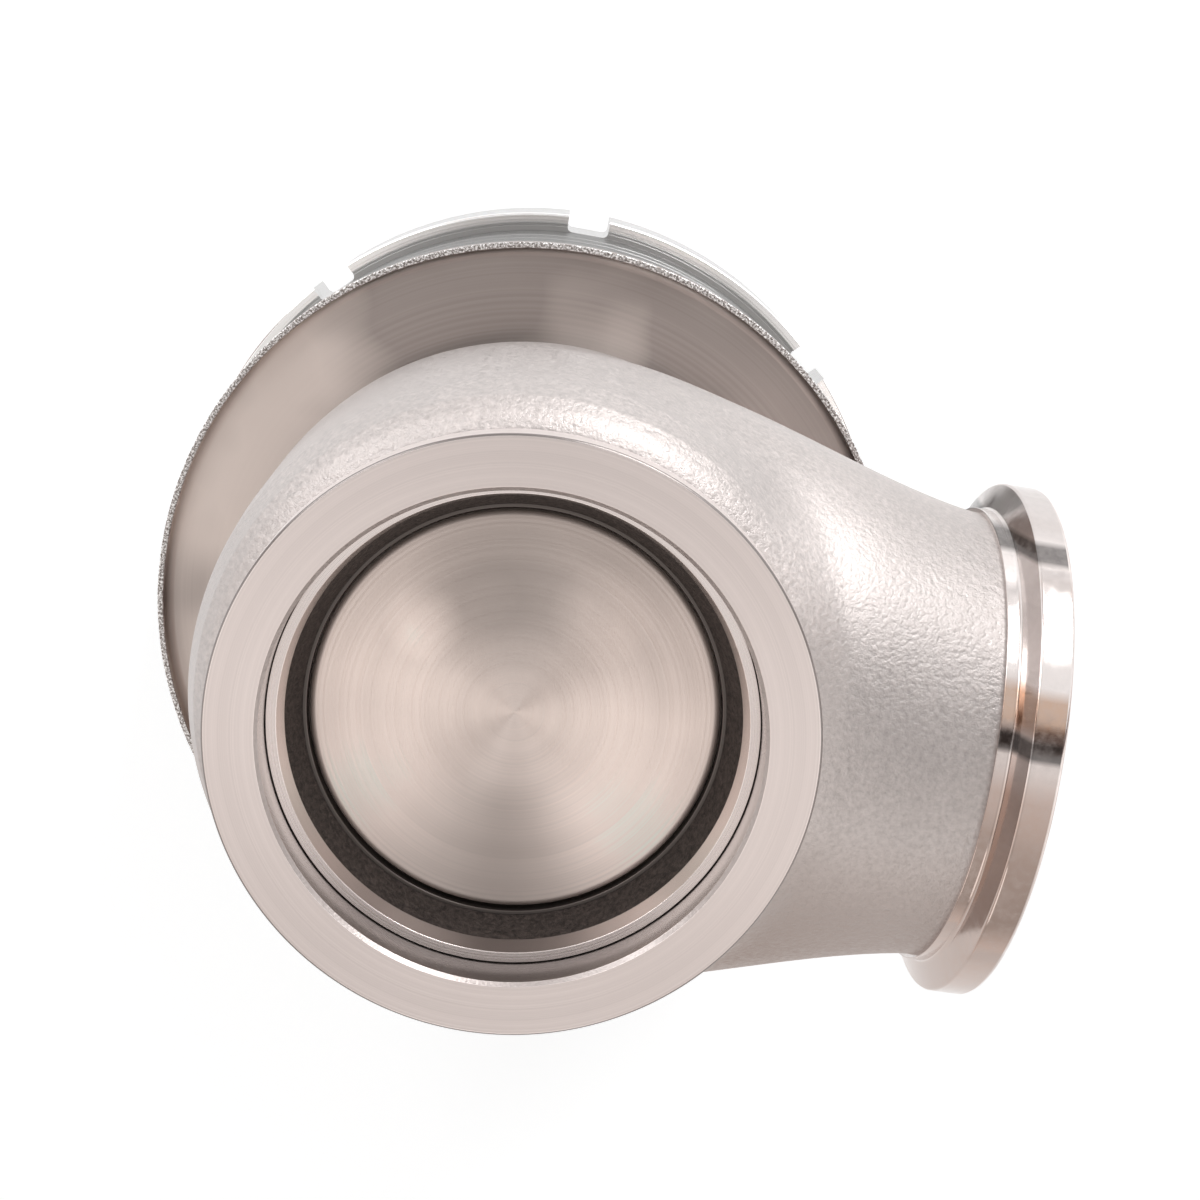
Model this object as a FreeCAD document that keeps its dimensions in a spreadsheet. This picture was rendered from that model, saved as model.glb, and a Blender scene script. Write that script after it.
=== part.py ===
import FreeCAD, Part
import math
import os
import Sketcher
from FreeCAD import Placement, Rotation, Vector

# External V-band wastegate, millimetres.
# Row frame: origin at the centre of the inlet flange's face, +Z straight out of the inlet,
# +X towards the outlet. The gate stands on its flat cap, inlet upwards.
# Every piece is drawn about its own Z axis with "depth" counted from the inlet face into the
# body, and is then turned over once (upside_down) to take its place in the row frame.

SIZES = {
    # inlet flange, V-band style, and the bore behind it
    "inlet_flange_radius": 42.5,
    "flange_rim_width": 5.0,
    "flange_taper_drop": 4.4,
    "flange_taper_width": 1.7,
    "edge_break": 0.5,
    "clamp_groove_step": 0.9,
    "clamp_groove_width": 4.8,
    "inlet_face_width": 7.8,
    "inlet_register_depth": 8.0,
    "mouth_chamfer": 0.6,
    "bore_ledge": 1.6,
    "bore_draft": 0.8,
    "bore_length": 3.3,
    "throat_lead": 0.45,
    # valve seat ring
    "throat_length": 5.1,
    "seat_height": 5.0,
    "seat_bore_radius": 29.75,
    "seat_wall": 3.4,
    "seat_bevel": 2.0,
    # cast body
    "shoulder_length": 12.5,
    "barrel_radius": 47.8,
    "barrel_round": 18.0,
    "barrel_tail": 18.5,
    "barrel_taper": 1.8,
    "body_length": 80.5,
    "barrel_wall": 5.5,
    "chamber_roof": 5.6,
    "chamber_floor": 7.0,
    "chamber_round": 8.0,
    "rear_bore_inset": 5.5,
    "rear_bore_length": 12.5,
    # outlet branch, an oval that narrows to a round neck
    "outlet_rise": 35.9,
    "outlet_tilt": 4.0,
    "branch_start_inset": 0.4,
    "branch_start_height": 36.6,
    "branch_shoulder": 18.0,
    "branch_shoulder_inset": 0.8,
    "branch_middle": 40.0,
    "branch_middle_width": 41.5,
    "branch_middle_height": 35.6,
    "branch_neck_radius": 34.8,
    "branch_length": 66.4,
    "outlet_lip": 8.7,
    "outlet_rim_height": 5.2,
    "outlet_register_step": 3.0,
    "outlet_register_depth": 3.0,
    "outlet_wall": 4.8,
    "duct_height": 17.0,
    "duct_rise": 1.0,
    "duct_middle": 28.0,
    "duct_end": 62.0,
    # clearances
    "static_gap": 0.05,
    "running_clearance": 0.05,
    "seat_clearance": 0.2,
    # valve
    "valve_face_setback": 0.7,
    "valve_crown": 0.5,
    "valve_lead": 0.45,
    "valve_edge_round": 1.2,
    "valve_land": 1.2,
    "valve_back_radius": 21.0,
    "valve_back": 4.6,
    "tulip_radius": 8.0,
    "tulip_length": 5.0,
    "tulip_tail": 8.0,
    "stem_radius": 4.75,
    "stem_thread_radius": 4.0,
    "stem_tail": 11.0,
    # bonnet, guide and seals
    "gasket_thickness": 1.0,
    "bonnet_step": 1.0,
    "bonnet_flange": 6.5,
    "spigot_length": 3.5,
    "boss_radius": 14.0,
    "boss_height": 20.5,
    "guide_radius": 9.0,
    "guide_nose_length": 5.0,
    "guide_seal_radius": 11.0,
    "guide_seal_height": 4.0,
    # heat shield
    "shield_sheet": 1.0,
    "shield_flat_step": 2.0,
    "shield_overhang": 1.0,
    "shield_rim_height": 3.0,
    "shield_dish": 0.8,
    "shield_bend": 2.2,
    "shield_hole_radius": 12.0,
    "insulator_thickness": 1.5,
    # body screws
    "screw_inset": 7.0,
    "screw_count": 4,
    "screw_radius": 3.0,
    "screw_hole_radius": 3.2,
    "screw_length": 23.0,
    "screw_head_radius": 5.0,
    "screw_head_height": 6.0,
    "screw_socket_radius": 2.9,
    "screw_socket_depth": 3.0,
    "tapped_depth": 10.0,
    "washer_thickness": 1.2,
    "washer_radius": 5.4,
    "counterbore_radius": 5.8,
    # actuator base
    "base_radius": 61.3,
    "base_floor": 8.0,
    "base_counterbore": 4.5,
    "base_land_height": 1.0,
    "base_bevel": 1.8,
    "base_wall": 6.6,
    "base_bore_round": 5.0,
    "base_height": 52.5,
    "base_boss_radius": 13.0,
    "base_boss_height": 2.5,
    "band_groove_depth": 0.5,
    "band_groove_width": 1.2,
    "band_groove_offset": 21.5,
    "band_groove_pitch": 9.0,
    "bush_radius": 7.0,
    "bush_length": 5.6,
    "stem_seal_radius": 9.5,
    "stem_seal_height": 3.3,
    "circlip_groove_radius": 10.2,
    "circlip_thickness": 1.0,
    "circlip_width": 2.2,
    "circlip_opening": 5.0,
    # pressure ports
    "port_drop": 13.5,
    "port_radius": 4.3,
    "port_plug_length": 6.5,
    "port_socket_radius": 2.6,
    "port_socket_depth": 3.5,
    # diaphragm and the cup it drives
    "diaphragm_thickness": 1.9,
    "diaphragm_hole_inset": 1.8,
    "bead_room": 0.2,
    "roll_rise": 7.2,
    "roll_wall": 1.2,
    "roll_gap": 0.3,
    "cup_floor_gap": 5.5,
    "cup_floor": 3.0,
    "cup_lip": 6.0,
    "cup_wall": 3.0,
    "cup_round": 4.0,
    "roll_room": 6.0,
    "cup_flange": 5.0,
    "cup_rim_drop": 6.5,
    "ring_step": 0.2,
    "ring_thickness": 2.5,
    "ring_screw_inset": 3.8,
    "ring_screw_count": 8,
    "ring_screw_radius": 1.5,
    "ring_screw_head_radius": 2.75,
    "ring_screw_head_height": 1.7,
    "ring_screw_socket_radius": 1.15,
    "nut_washer_radius": 8.5,
    "nut_washer_thickness": 1.4,
    "nut_across_flats": 13.0,
    "nut_height": 6.5,
    # springs
    "spring_room": 1.6,
    "outer_spring_wire": 4.4,
    "outer_spring_coils": 4,
    "spring_gap": 2.8,
    "middle_spring_wire": 3.6,
    "middle_spring_coils": 4,
    "inner_spring_wire": 3.0,
    "inner_spring_coils": 5,
    # cap and locking collar
    "cap_flange": 4.5,
    "cap_flange_room": 1.0,
    "cap_shoulder": 2.1,
    "cap_wall": 4.0,
    "cap_height": 18.0,
    "cap_crown": 4.5,
    "cap_round": 4.0,
    "cap_boss_room": 2.3,
    "cap_boss_height": 3.0,
    "cap_recess_radius": 30.0,
    "cap_recess_depth": 1.0,
    "collar_wall": 5.0,
    "collar_grip": 8.1,
    "collar_lip": 3.4,
    "thread_depth": 1.7,
    "collar_bevel": 0.8,
    "notch_width": 7.6,
    "notch_depth": 3.2,
    "notch_count": 8,
    "lock_screw_radius": 2.0,
    "lock_screw_socket_radius": 1.15,
    "lock_screw_socket_depth": 2.0,
}

# Angles around the gate, in degrees from the outlet.
SCREW_ANGLE = 45.0
SIGNAL_PORT_ANGLE = 90.0
PLUGGED_PORT_ANGLE = 135.0
LOCK_SCREW_ANGLE = 67.5

upside_down = Placement(Vector(), Rotation(Vector(1, 0, 0), 180))

doc = FreeCAD.newDocument("wastegate")
sheet = doc.addObject("Spreadsheet::Sheet", "Sizes")
for row, (alias, number) in enumerate(SIZES.items(), start=1):
    sheet.set(f"B{row}", str(number))
    sheet.setAlias(f"B{row}", alias)
doc.recompute()


class Size:
    """A length that knows its number now and the sheet expression it comes from."""

    def __init__(self, value, text):
        self.value = float(value)
        self.text = text

    def __add__(self, other):
        other = as_size(other)
        return Size(self.value + other.value, f"({self.text} + {other.text})")

    def __sub__(self, other):
        other = as_size(other)
        return Size(self.value - other.value, f"({self.text} - {other.text})")

    def __mul__(self, factor):
        factor = as_size(factor)
        return Size(self.value * factor.value, f"({self.text} * {factor.text})")


def as_size(number):
    return number if isinstance(number, Size) else Size(number, f"({float(number)!r})")


class Sheet:
    """The driving sizes by name: mm.barrel_radius and so on."""

    def __getattr__(self, alias):
        return Size(sheet.get(alias), f"Sizes.{alias}")


mm = Sheet()
ZERO = Size(0.0, "0")

# Depths and radii that several pieces share.
edge = mm.edge_break
inlet_root = mm.inlet_flange_radius - mm.flange_taper_drop
clamp_groove_radius = mm.inlet_flange_radius + mm.clamp_groove_step
clamp_groove_end = mm.flange_rim_width + mm.flange_taper_width + mm.clamp_groove_width
inlet_register_radius = mm.inlet_flange_radius - mm.inlet_face_width
bore_mouth_radius = inlet_register_radius - mm.bore_ledge
bore_end_radius = bore_mouth_radius - mm.bore_draft
bore_end_depth = mm.inlet_register_depth + mm.bore_length
seat_depth = bore_end_depth + mm.throat_length
seat_end = seat_depth + mm.seat_height
throat_radius = mm.seat_bore_radius + mm.throat_lead
seat_outer_radius = mm.seat_bore_radius + mm.seat_wall

shoulder_depth = clamp_groove_end + mm.shoulder_length
barrel_end = mm.body_length - mm.barrel_tail
body_land_radius = mm.barrel_radius - mm.barrel_taper
screw_circle = body_land_radius - mm.screw_inset
chamber_radius = mm.barrel_radius - mm.barrel_wall
chamber_start = seat_end + mm.chamber_roof
rear_bore_radius = screw_circle - mm.rear_bore_inset
rear_bore_start = mm.body_length - mm.rear_bore_length
chamber_end = rear_bore_start - mm.chamber_floor

outlet_axis_depth = mm.body_length - mm.outlet_rise
outlet_face = mm.branch_length + mm.outlet_lip
outlet_flange_radius = mm.branch_neck_radius + mm.outlet_rim_height
outlet_root = outlet_flange_radius - mm.flange_taper_drop
outlet_bore_radius = mm.branch_neck_radius - mm.outlet_wall
outlet_register_radius = outlet_bore_radius + mm.outlet_register_step

valve_face_radius = mm.seat_bore_radius - mm.valve_lead
valve_back_depth = seat_end + mm.valve_back
tulip_depth = valve_back_depth + mm.tulip_length
tulip_end = tulip_depth + mm.tulip_tail

gasket_end = mm.body_length + mm.gasket_thickness
bonnet_radius = body_land_radius - mm.bonnet_step
bonnet_end = gasket_end + mm.bonnet_flange
spigot_depth = mm.body_length - mm.spigot_length
boss_start = mm.body_length - mm.boss_height
guide_start = boss_start - mm.guide_nose_length
stem_bore = mm.stem_radius + mm.running_clearance

shield_end = bonnet_end + mm.shield_sheet
shield_flat_radius = body_land_radius + mm.shield_flat_step
shield_radius = mm.base_radius + mm.shield_overhang
shield_rim_depth = bonnet_end - mm.shield_rim_height

base_start = shield_end + mm.insulator_thickness
base_floor_end = base_start + mm.base_floor
base_rim_depth = base_start + mm.base_height
washer_seat = base_floor_end - mm.base_counterbore
bore_round_end = base_floor_end + mm.base_bore_round
washer_end = washer_seat + mm.washer_thickness
boss_end = base_floor_end + mm.base_boss_height
band_groove_first = base_start + mm.band_groove_offset
port_depth = base_floor_end + mm.port_drop

collar_thread_radius = mm.base_radius - mm.thread_depth
collar_radius = collar_thread_radius + mm.collar_wall
collar_start = base_rim_depth - mm.collar_grip
base_bore_radius = collar_thread_radius - mm.base_wall
diaphragm_clamp = base_rim_depth + mm.diaphragm_thickness + mm.static_gap * 2
cap_flange_radius = collar_thread_radius - mm.cap_flange_room
cap_flange_end = diaphragm_clamp + mm.cap_flange
cap_radius = cap_flange_radius - mm.cap_shoulder
cap_end = diaphragm_clamp + mm.cap_height
spring_top = cap_end - mm.cap_crown
collar_lip_start = cap_flange_end + mm.static_gap * 2
collar_end = collar_lip_start + mm.collar_lip

bead_radius = cap_flange_radius - mm.bead_room
roll_height = base_rim_depth + mm.roll_rise
cup_flange_radius = base_bore_radius - mm.roll_room
cup_radius = cup_flange_radius - mm.cup_lip
cup_floor_depth = base_floor_end + mm.cup_floor_gap
cup_floor_top = cup_floor_depth + mm.cup_floor
cup_rim_depth = base_rim_depth - mm.cup_rim_drop
diaphragm_hole_radius = cup_radius - mm.diaphragm_hole_inset
ring_inner_radius = cup_radius - mm.cup_wall + mm.ring_step
ring_screw_circle = cup_flange_radius - mm.ring_screw_inset
ring_start = cup_rim_depth + mm.diaphragm_thickness + mm.static_gap * 2
ring_end = ring_start + mm.ring_thickness
ring_hole = mm.ring_screw_radius + mm.static_gap * 2
nut_start = cup_floor_top + mm.nut_washer_thickness
stem_end = cup_floor_top + mm.stem_tail

outer_spring_radius = cup_radius - mm.cup_wall - mm.outer_spring_wire * 0.5 - mm.spring_room
middle_spring_radius = (outer_spring_radius
                        - (mm.outer_spring_wire + mm.middle_spring_wire) * 0.5 - mm.spring_gap)
inner_spring_radius = (middle_spring_radius
                       - (mm.middle_spring_wire + mm.inner_spring_wire) * 0.5 - mm.spring_gap)
cap_boss_radius = inner_spring_radius - mm.inner_spring_wire * 0.5 - mm.cap_boss_room


def origin_feature(body, role):
    return next(item for item in body.Origin.OriginFeatures if item.Role == role)


def draw(sketch, corners):
    """Closes an outline through corners (x, y) or (x, y, rounding), each bound to the sheet."""
    count = len(corners)
    points = [Vector(c[0].value, c[1].value, 0) for c in corners]
    ends = []
    for i, corner in enumerate(corners):
        if len(corner) == 2:
            ends.append((points[i], points[i]))
            continue
        to_last = (points[i - 1] - points[i]).normalize()
        to_next = (points[(i + 1) % count] - points[i]).normalize()
        reach = corner[2].value / math.tan(to_last.getAngle(to_next) / 2)
        ends.append((points[i] + to_last * reach, points[i] + to_next * reach))
    for i in range(count):
        sketch.addGeometry(Part.LineSegment(ends[i][1], ends[(i + 1) % count][0]))
    rules = []
    bindings = []

    def place(corner, geometry):
        for kind, size, axis in (("DistanceX", corner[0], -2), ("DistanceY", corner[1], -1)):
            if size is ZERO:
                rules.append(Sketcher.Constraint("PointOnObject", geometry, 1, axis))
                continue
            bindings.append((len(rules), size.text))
            rules.append(Sketcher.Constraint(kind, -1, 1, geometry, 1, size.value))

    for i, corner in enumerate(corners):
        before = (i - 1) % count
        if len(corner) == 2:
            rules.append(Sketcher.Constraint("Coincident", before, 2, i, 1))
            place(corner, i)
            continue
        start, finish = ends[i]
        bisector = ((start + finish) * 0.5 - points[i]).normalize()
        half_chord = (finish - start).Length / 2
        sagitta = corner[2].value - math.sqrt(corner[2].value ** 2 - half_chord ** 2)
        middle = (start + finish) * 0.5 - bisector * sagitta
        arc = sketch.addGeometry(Part.Arc(start, middle, finish))
        left_turn = (middle - start).cross(finish - middle).z > 0
        first, last = (1, 2) if left_turn else (2, 1)
        rules.append(Sketcher.Constraint("Tangent", before, 2, arc, first))
        rules.append(Sketcher.Constraint("Tangent", arc, last, i, 1))
        bindings.append((len(rules), corner[2].text))
        rules.append(Sketcher.Constraint("Radius", arc, corner[2].value))
        mark = sketch.addGeometry(Part.Point(points[i]), True)
        rules.append(Sketcher.Constraint("PointOnObject", mark, 1, before))
        rules.append(Sketcher.Constraint("PointOnObject", mark, 1, i))
        place(corner, mark)
    first_rule = sketch.addConstraint(rules)[0]
    for offset, text in bindings:
        sketch.setExpression(f"Constraints[{first_rule + offset}]", text)


def new_body(label):
    body = doc.addObject("PartDesign::Body", label)
    body.Label = label
    return body


def new_sketch(body, plane, turn_axis, turn):
    sketch = body.newObject("Sketcher::SketchObject", body.Name + "_outline")
    sketch.AttachmentSupport = (origin_feature(body, plane), [""])
    sketch.MapMode = "FlatFace"
    sketch.AttachmentOffset = Placement(Vector(), Rotation(turn_axis, turn))
    return sketch


def turned(body, corners, cut=False, about=None, turn=0.0):
    """Turns an outline of (radius, depth) corners about the body's Z axis, or about the line
    between the two points of about. The outline stands at the angle turn around the body."""
    sketch = new_sketch(body, "XZ_Plane", Vector(0, 1, 0), turn)
    draw(sketch, corners)
    reference = "V_Axis"
    if about is not None:
        reference = "Axis0"
        ends = [Vector(x.value, y.value, 0) for x, y in about]
        line = sketch.addGeometry(Part.LineSegment(*ends), True)
        for end, point in enumerate(about, start=1):
            for kind, size in zip(("DistanceX", "DistanceY"), point):
                rule = Sketcher.Constraint(kind, -1, 1, line, end, size.value)
                sketch.setExpression(f"Constraints[{sketch.addConstraint(rule)}]", size.text)
    kind = "PartDesign::Groove" if cut else "PartDesign::Revolution"
    feature = body.newObject(kind, body.Name + "_turn")
    feature.Profile = sketch
    feature.ReferenceAxis = (sketch, [reference])
    feature.Angle = 360
    return feature


def milled(body, corners, start, depth, turn=0.0):
    """Cuts an outline of (x, y) corners straight along Z, from start over depth."""
    sketch = new_sketch(body, "XY_Plane", Vector(0, 0, 1), turn)
    sketch.setExpression("AttachmentOffset.Base.z", (start + depth).text)
    draw(sketch, corners)
    feature = body.newObject("PartDesign::Pocket", body.Name + "_mill")
    feature.Profile = sketch
    feature.Length = depth.value
    feature.setExpression("Length", depth.text)
    return feature


def around(body, features, count):
    """Repeats features evenly about the body's Z axis."""
    pattern = body.newObject("PartDesign::PolarPattern", body.Name + "_pattern")
    pattern.Originals = features
    pattern.Axis = (origin_feature(body, "Z_Axis"), [""])
    pattern.Angle = 360
    pattern.Occurrences = int(count.value)
    pattern.setExpression("Occurrences", count.text)
    body.Tip = pattern
    return pattern


def ring(inner, outer, start, end):
    return [(inner, start), (outer, start), (outer, end), (inner, end)]


def hexagon(centre, radius):
    steps = [math.radians(60 * k + 30) for k in range(6)]
    return [(centre + radius * math.cos(a), radius * math.sin(a)) for a in steps]


def drilled(body, radius, circle, start, end, count, turn):
    """A ring of round holes, each turned about its own axis on the circle."""
    axis = ((circle, start), (circle, end))
    hole = turned(body, ring(circle, circle + radius, start, end), True, axis, turn)
    return around(body, [hole], count)


parts = []


def finish(piece):
    parts.append(piece)
    return piece


def plain_turned(label, corners):
    body = new_body(label)
    turned(body, corners)
    return finish(body)


# ---------------------------------------------------------------- cast valve body

def v_band(radius, root, face, inward):
    """Corners of a V-band flange from its face over the rim and down the back taper."""
    rim = face + mm.flange_rim_width * inward
    return [
        (radius - edge, face),
        (radius, face + edge * inward),
        (radius, rim - edge * inward),
        (radius - edge, rim),
        (root, rim + mm.flange_taper_width * inward),
    ]


def along_outlet(piece):
    """Stands a piece drawn about Z along the outlet's axis."""
    piece.Placement = Placement(Vector(), Rotation(Vector(0, 1, 0), 90))
    piece.setExpression("Placement.Base.z", outlet_axis_depth.text)
    piece.setExpression("Placement.Rotation.Angle", f"90 - {mm.outlet_tilt.text}")
    return piece


def oval(width, height, station):
    """An oval across the outlet's axis: width along Y, height along the depth."""
    centre = Vector(0, 0, station.value)
    ends = [Vector(0, width.value, station.value), Vector(height.value, 0, station.value)]
    if height.value > width.value:
        ends.reverse()
    if abs(height.value - width.value) < 1e-6:
        return Part.Wire(Part.Circle(centre, Vector(0, 0, 1), width.value).toShape())
    return Part.Wire(Part.Ellipse(ends[0], ends[1], centre).toShape())


def plain_cylinder(name, radius, start, end):
    cylinder = doc.addObject("Part::Cylinder", name)
    cylinder.setExpression("Radius", radius.text)
    cylinder.setExpression("Height", (end - start).text)
    cylinder.setExpression("Placement.Base.z", start.text)
    return cylinder


def boolean(kind, name, first, second):
    result = doc.addObject("Part::" + kind, name)
    result.Base = first
    result.Tool = second
    return result


def fused(name, pieces):
    result = doc.addObject("Part::MultiFuse", name)
    result.Shapes = pieces
    return result


barrel = new_body("barrel")
turned(barrel, [(ZERO, ZERO)] + v_band(mm.inlet_flange_radius, inlet_root, ZERO, 1.0) + [
    (inlet_root, clamp_groove_end),
    (clamp_groove_radius, clamp_groove_end),
    (mm.barrel_radius, shoulder_depth, mm.barrel_round),
    (mm.barrel_radius, barrel_end, mm.barrel_round),
    (body_land_radius, mm.body_length),
    (ZERO, mm.body_length),
])

# The branch is an oval as wide as the barrel that narrows to a round neck, so it is lofted in
# code: which way round an oval lies can change with its sizes.
branch = doc.addObject("Part::Feature", "branch")
branch.Shape = Part.makeLoft([
    oval(mm.barrel_radius - mm.branch_start_inset, mm.branch_start_height, ZERO),
    oval(mm.barrel_radius - mm.branch_shoulder_inset, mm.branch_start_height, mm.branch_shoulder),
    oval(mm.branch_middle_width, mm.branch_middle_height, mm.branch_middle),
    oval(mm.branch_neck_radius, mm.branch_neck_radius, mm.branch_length),
], True, False)
along_outlet(branch)
clamp_room = plain_cylinder("clamp_room", clamp_groove_radius, ZERO, clamp_groove_end)
rear_room = plain_cylinder("rear_room", body_land_radius, mm.body_length,
                           mm.body_length * 2.0)
trimmed_branch = boolean("Cut", "trimmed_branch", branch, fused("branch_room",
                                                               [clamp_room, rear_room]))
casting = fused("casting", [barrel, trimmed_branch])

outlet_flange = new_body("outlet_flange")
neck_start = mm.branch_length - mm.flange_rim_width
turned(outlet_flange, [(ZERO, outlet_face)]
       + v_band(outlet_flange_radius, outlet_root, outlet_face, -1.0) + [
    (outlet_root, mm.branch_length),
    (mm.branch_neck_radius - edge, mm.branch_length),
    (mm.branch_neck_radius - edge, neck_start),
    (ZERO, neck_start),
])
along_outlet(outlet_flange)

inlet_passage = new_body("inlet_passage")
mouth_radius = inlet_register_radius + mm.mouth_chamfer
turned(inlet_passage, [
    (ZERO, mm.flange_rim_width * -1.0),
    (mouth_radius, mm.flange_rim_width * -1.0),
    (mouth_radius, ZERO),
    (inlet_register_radius, mm.mouth_chamfer),
    (inlet_register_radius, mm.inlet_register_depth),
    (bore_mouth_radius, mm.inlet_register_depth),
    (bore_end_radius, bore_end_depth),
    (throat_radius, seat_depth),
    (seat_outer_radius + mm.static_gap, seat_depth),
    (seat_outer_radius + mm.static_gap, seat_end),
    (seat_outer_radius + mm.seat_bevel, seat_end),
    (chamber_radius, chamber_start, mm.seat_bevel),
    (chamber_radius, chamber_end, mm.chamber_round),
    (rear_bore_radius, rear_bore_start),
    (rear_bore_radius, mm.body_length * 1.5),
    (ZERO, mm.body_length * 1.5),
])

# The outlet leaves the chamber as a low oval, clear of the seat, and opens out to a round bore.
duct = doc.addObject("Part::Feature", "duct")
duct.Shape = Part.makeLoft([
    oval(outlet_bore_radius, mm.duct_height, ZERO),
    oval(outlet_bore_radius, mm.duct_height + mm.duct_rise, mm.duct_middle),
    oval(outlet_bore_radius, outlet_bore_radius, mm.duct_end),
], True, False)
along_outlet(duct)

outlet_passage = new_body("outlet_passage")
outlet_mouth = outlet_register_radius + mm.mouth_chamfer
outlet_step = outlet_face - mm.outlet_register_depth
turned(outlet_passage, [
    (ZERO, mm.duct_end),
    (outlet_bore_radius, mm.duct_end),
    (outlet_bore_radius, outlet_step),
    (outlet_register_radius, outlet_step),
    (outlet_register_radius, outlet_face - mm.mouth_chamfer),
    (outlet_mouth, outlet_face),
    (outlet_mouth, outlet_face * 1.2),
    (ZERO, outlet_face * 1.2),
])
along_outlet(outlet_passage)

tapped_holes = new_body("tapped_holes")
tapped_start = mm.body_length - mm.tapped_depth
hole = turned(tapped_holes,
              ring(screw_circle, screw_circle + mm.screw_radius, tapped_start,
                   mm.body_length * 1.2),
              about=((screw_circle, tapped_start), (screw_circle, mm.body_length)),
              turn=SCREW_ANGLE)
around(tapped_holes, [hole], mm.screw_count)

castings = fused("castings", [casting, outlet_flange])
passages = fused("passages", [inlet_passage, duct, outlet_passage, tapped_holes])
valve_body = finish(boolean("Cut", "valve_body", castings, passages))

# ---------------------------------------------------------------- seat ring and poppet valve

seat_bevel_start = seat_end - mm.seat_bevel
plain_turned("seat_insert", [
    (mm.seat_bore_radius, seat_depth + mm.static_gap),
    (seat_outer_radius, seat_depth + mm.static_gap),
    (seat_outer_radius, seat_end),
    (mm.seat_bore_radius + mm.seat_bevel, seat_end),
    (mm.seat_bore_radius, seat_bevel_start),
])

valve_face = seat_depth + mm.valve_face_setback
cone_start = valve_face_radius - mm.seat_bore_radius + mm.seat_clearance + seat_bevel_start
cone_rise = seat_end - cone_start
valve_rim = valve_face_radius + cone_rise
plain_turned("valve", [
    (ZERO, valve_face - mm.valve_crown),
    (valve_face_radius, valve_face, mm.valve_edge_round),
    (valve_face_radius, cone_start),
    (valve_rim, seat_end),
    (valve_rim, seat_end + mm.valve_land),
    (mm.valve_back_radius, valve_back_depth, mm.tulip_radius),
    (mm.tulip_radius, tulip_depth, mm.tulip_radius),
    (mm.stem_radius, tulip_end),
    (mm.stem_radius, cup_floor_depth),
    (mm.stem_thread_radius, cup_floor_depth),
    (mm.stem_thread_radius, stem_end - edge),
    (mm.stem_thread_radius - edge, stem_end),
    (ZERO, stem_end),
])

# ---------------------------------------------------------------- bonnet, guide, gaskets

guide_seal_start = bonnet_end - mm.guide_seal_height
bonnet = new_body("guide_bonnet")
spigot_radius = rear_bore_radius - mm.static_gap * 2
turned(bonnet, [
    (mm.guide_radius, boss_start),
    (mm.boss_radius, boss_start, edge * 2),
    (mm.boss_radius, spigot_depth, mm.boss_radius * 0.6),
    (spigot_radius, spigot_depth, edge * 2),
    (spigot_radius, gasket_end),
    (bonnet_radius, gasket_end),
    (bonnet_radius, bonnet_end),
    (mm.guide_seal_radius, bonnet_end),
    (mm.guide_seal_radius, guide_seal_start),
    (mm.guide_radius, guide_seal_start),
])
drilled(bonnet, mm.screw_hole_radius, screw_circle, gasket_end, bonnet_end,
        mm.screw_count, SCREW_ANGLE)
finish(bonnet)

guide_outer = mm.guide_radius - mm.static_gap
guide_nose = guide_start + edge * 3
plain_turned("valve_guide", [
    (stem_bore, guide_start + edge),
    (stem_bore + edge, guide_start),
    (guide_outer - edge * 2, guide_start),
    (guide_outer, guide_nose),
    (guide_outer, guide_seal_start - mm.static_gap),
    (stem_bore, guide_seal_start - mm.static_gap),
])

plain_turned("guide_seal", ring(stem_bore, mm.guide_seal_radius - mm.static_gap,
                                guide_seal_start + mm.static_gap, bonnet_end - mm.static_gap))

body_gasket = new_body("body_gasket")
turned(body_gasket, ring(rear_bore_radius + edge * 2, bonnet_radius,
                         mm.body_length, gasket_end))
drilled(body_gasket, mm.screw_hole_radius, screw_circle, mm.body_length, gasket_end,
        mm.screw_count, SCREW_ANGLE)
finish(body_gasket)

# ---------------------------------------------------------------- heat shield

shield = new_body("heat_shield")
shield_inside = shield_radius - mm.shield_sheet
turned(shield, [
    (mm.shield_hole_radius, bonnet_end),
    (shield_flat_radius, bonnet_end),
    (shield_inside, bonnet_end + mm.shield_dish, mm.shield_bend),
    (shield_inside, shield_rim_depth),
    (shield_radius, shield_rim_depth),
    (shield_radius, shield_end + mm.shield_dish, mm.shield_bend + mm.shield_sheet),
    (shield_flat_radius, shield_end),
    (mm.shield_hole_radius, shield_end),
])
drilled(shield, mm.screw_hole_radius, screw_circle, bonnet_end, shield_end,
        mm.screw_count, SCREW_ANGLE)
finish(shield)

insulator = new_body("insulator_gasket")
turned(insulator, ring(mm.shield_hole_radius, body_land_radius, shield_end, base_start))
drilled(insulator, mm.screw_hole_radius, screw_circle, shield_end, base_start,
        mm.screw_count, SCREW_ANGLE)
finish(insulator)

# ---------------------------------------------------------------- actuator base

base_land = base_start + mm.base_land_height
groove_floor = mm.base_radius - mm.band_groove_depth


def band_groove(start):
    end = start + mm.band_groove_width
    return [(mm.base_radius, start), (groove_floor, start), (groove_floor, end),
            (mm.base_radius, end)]


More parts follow.
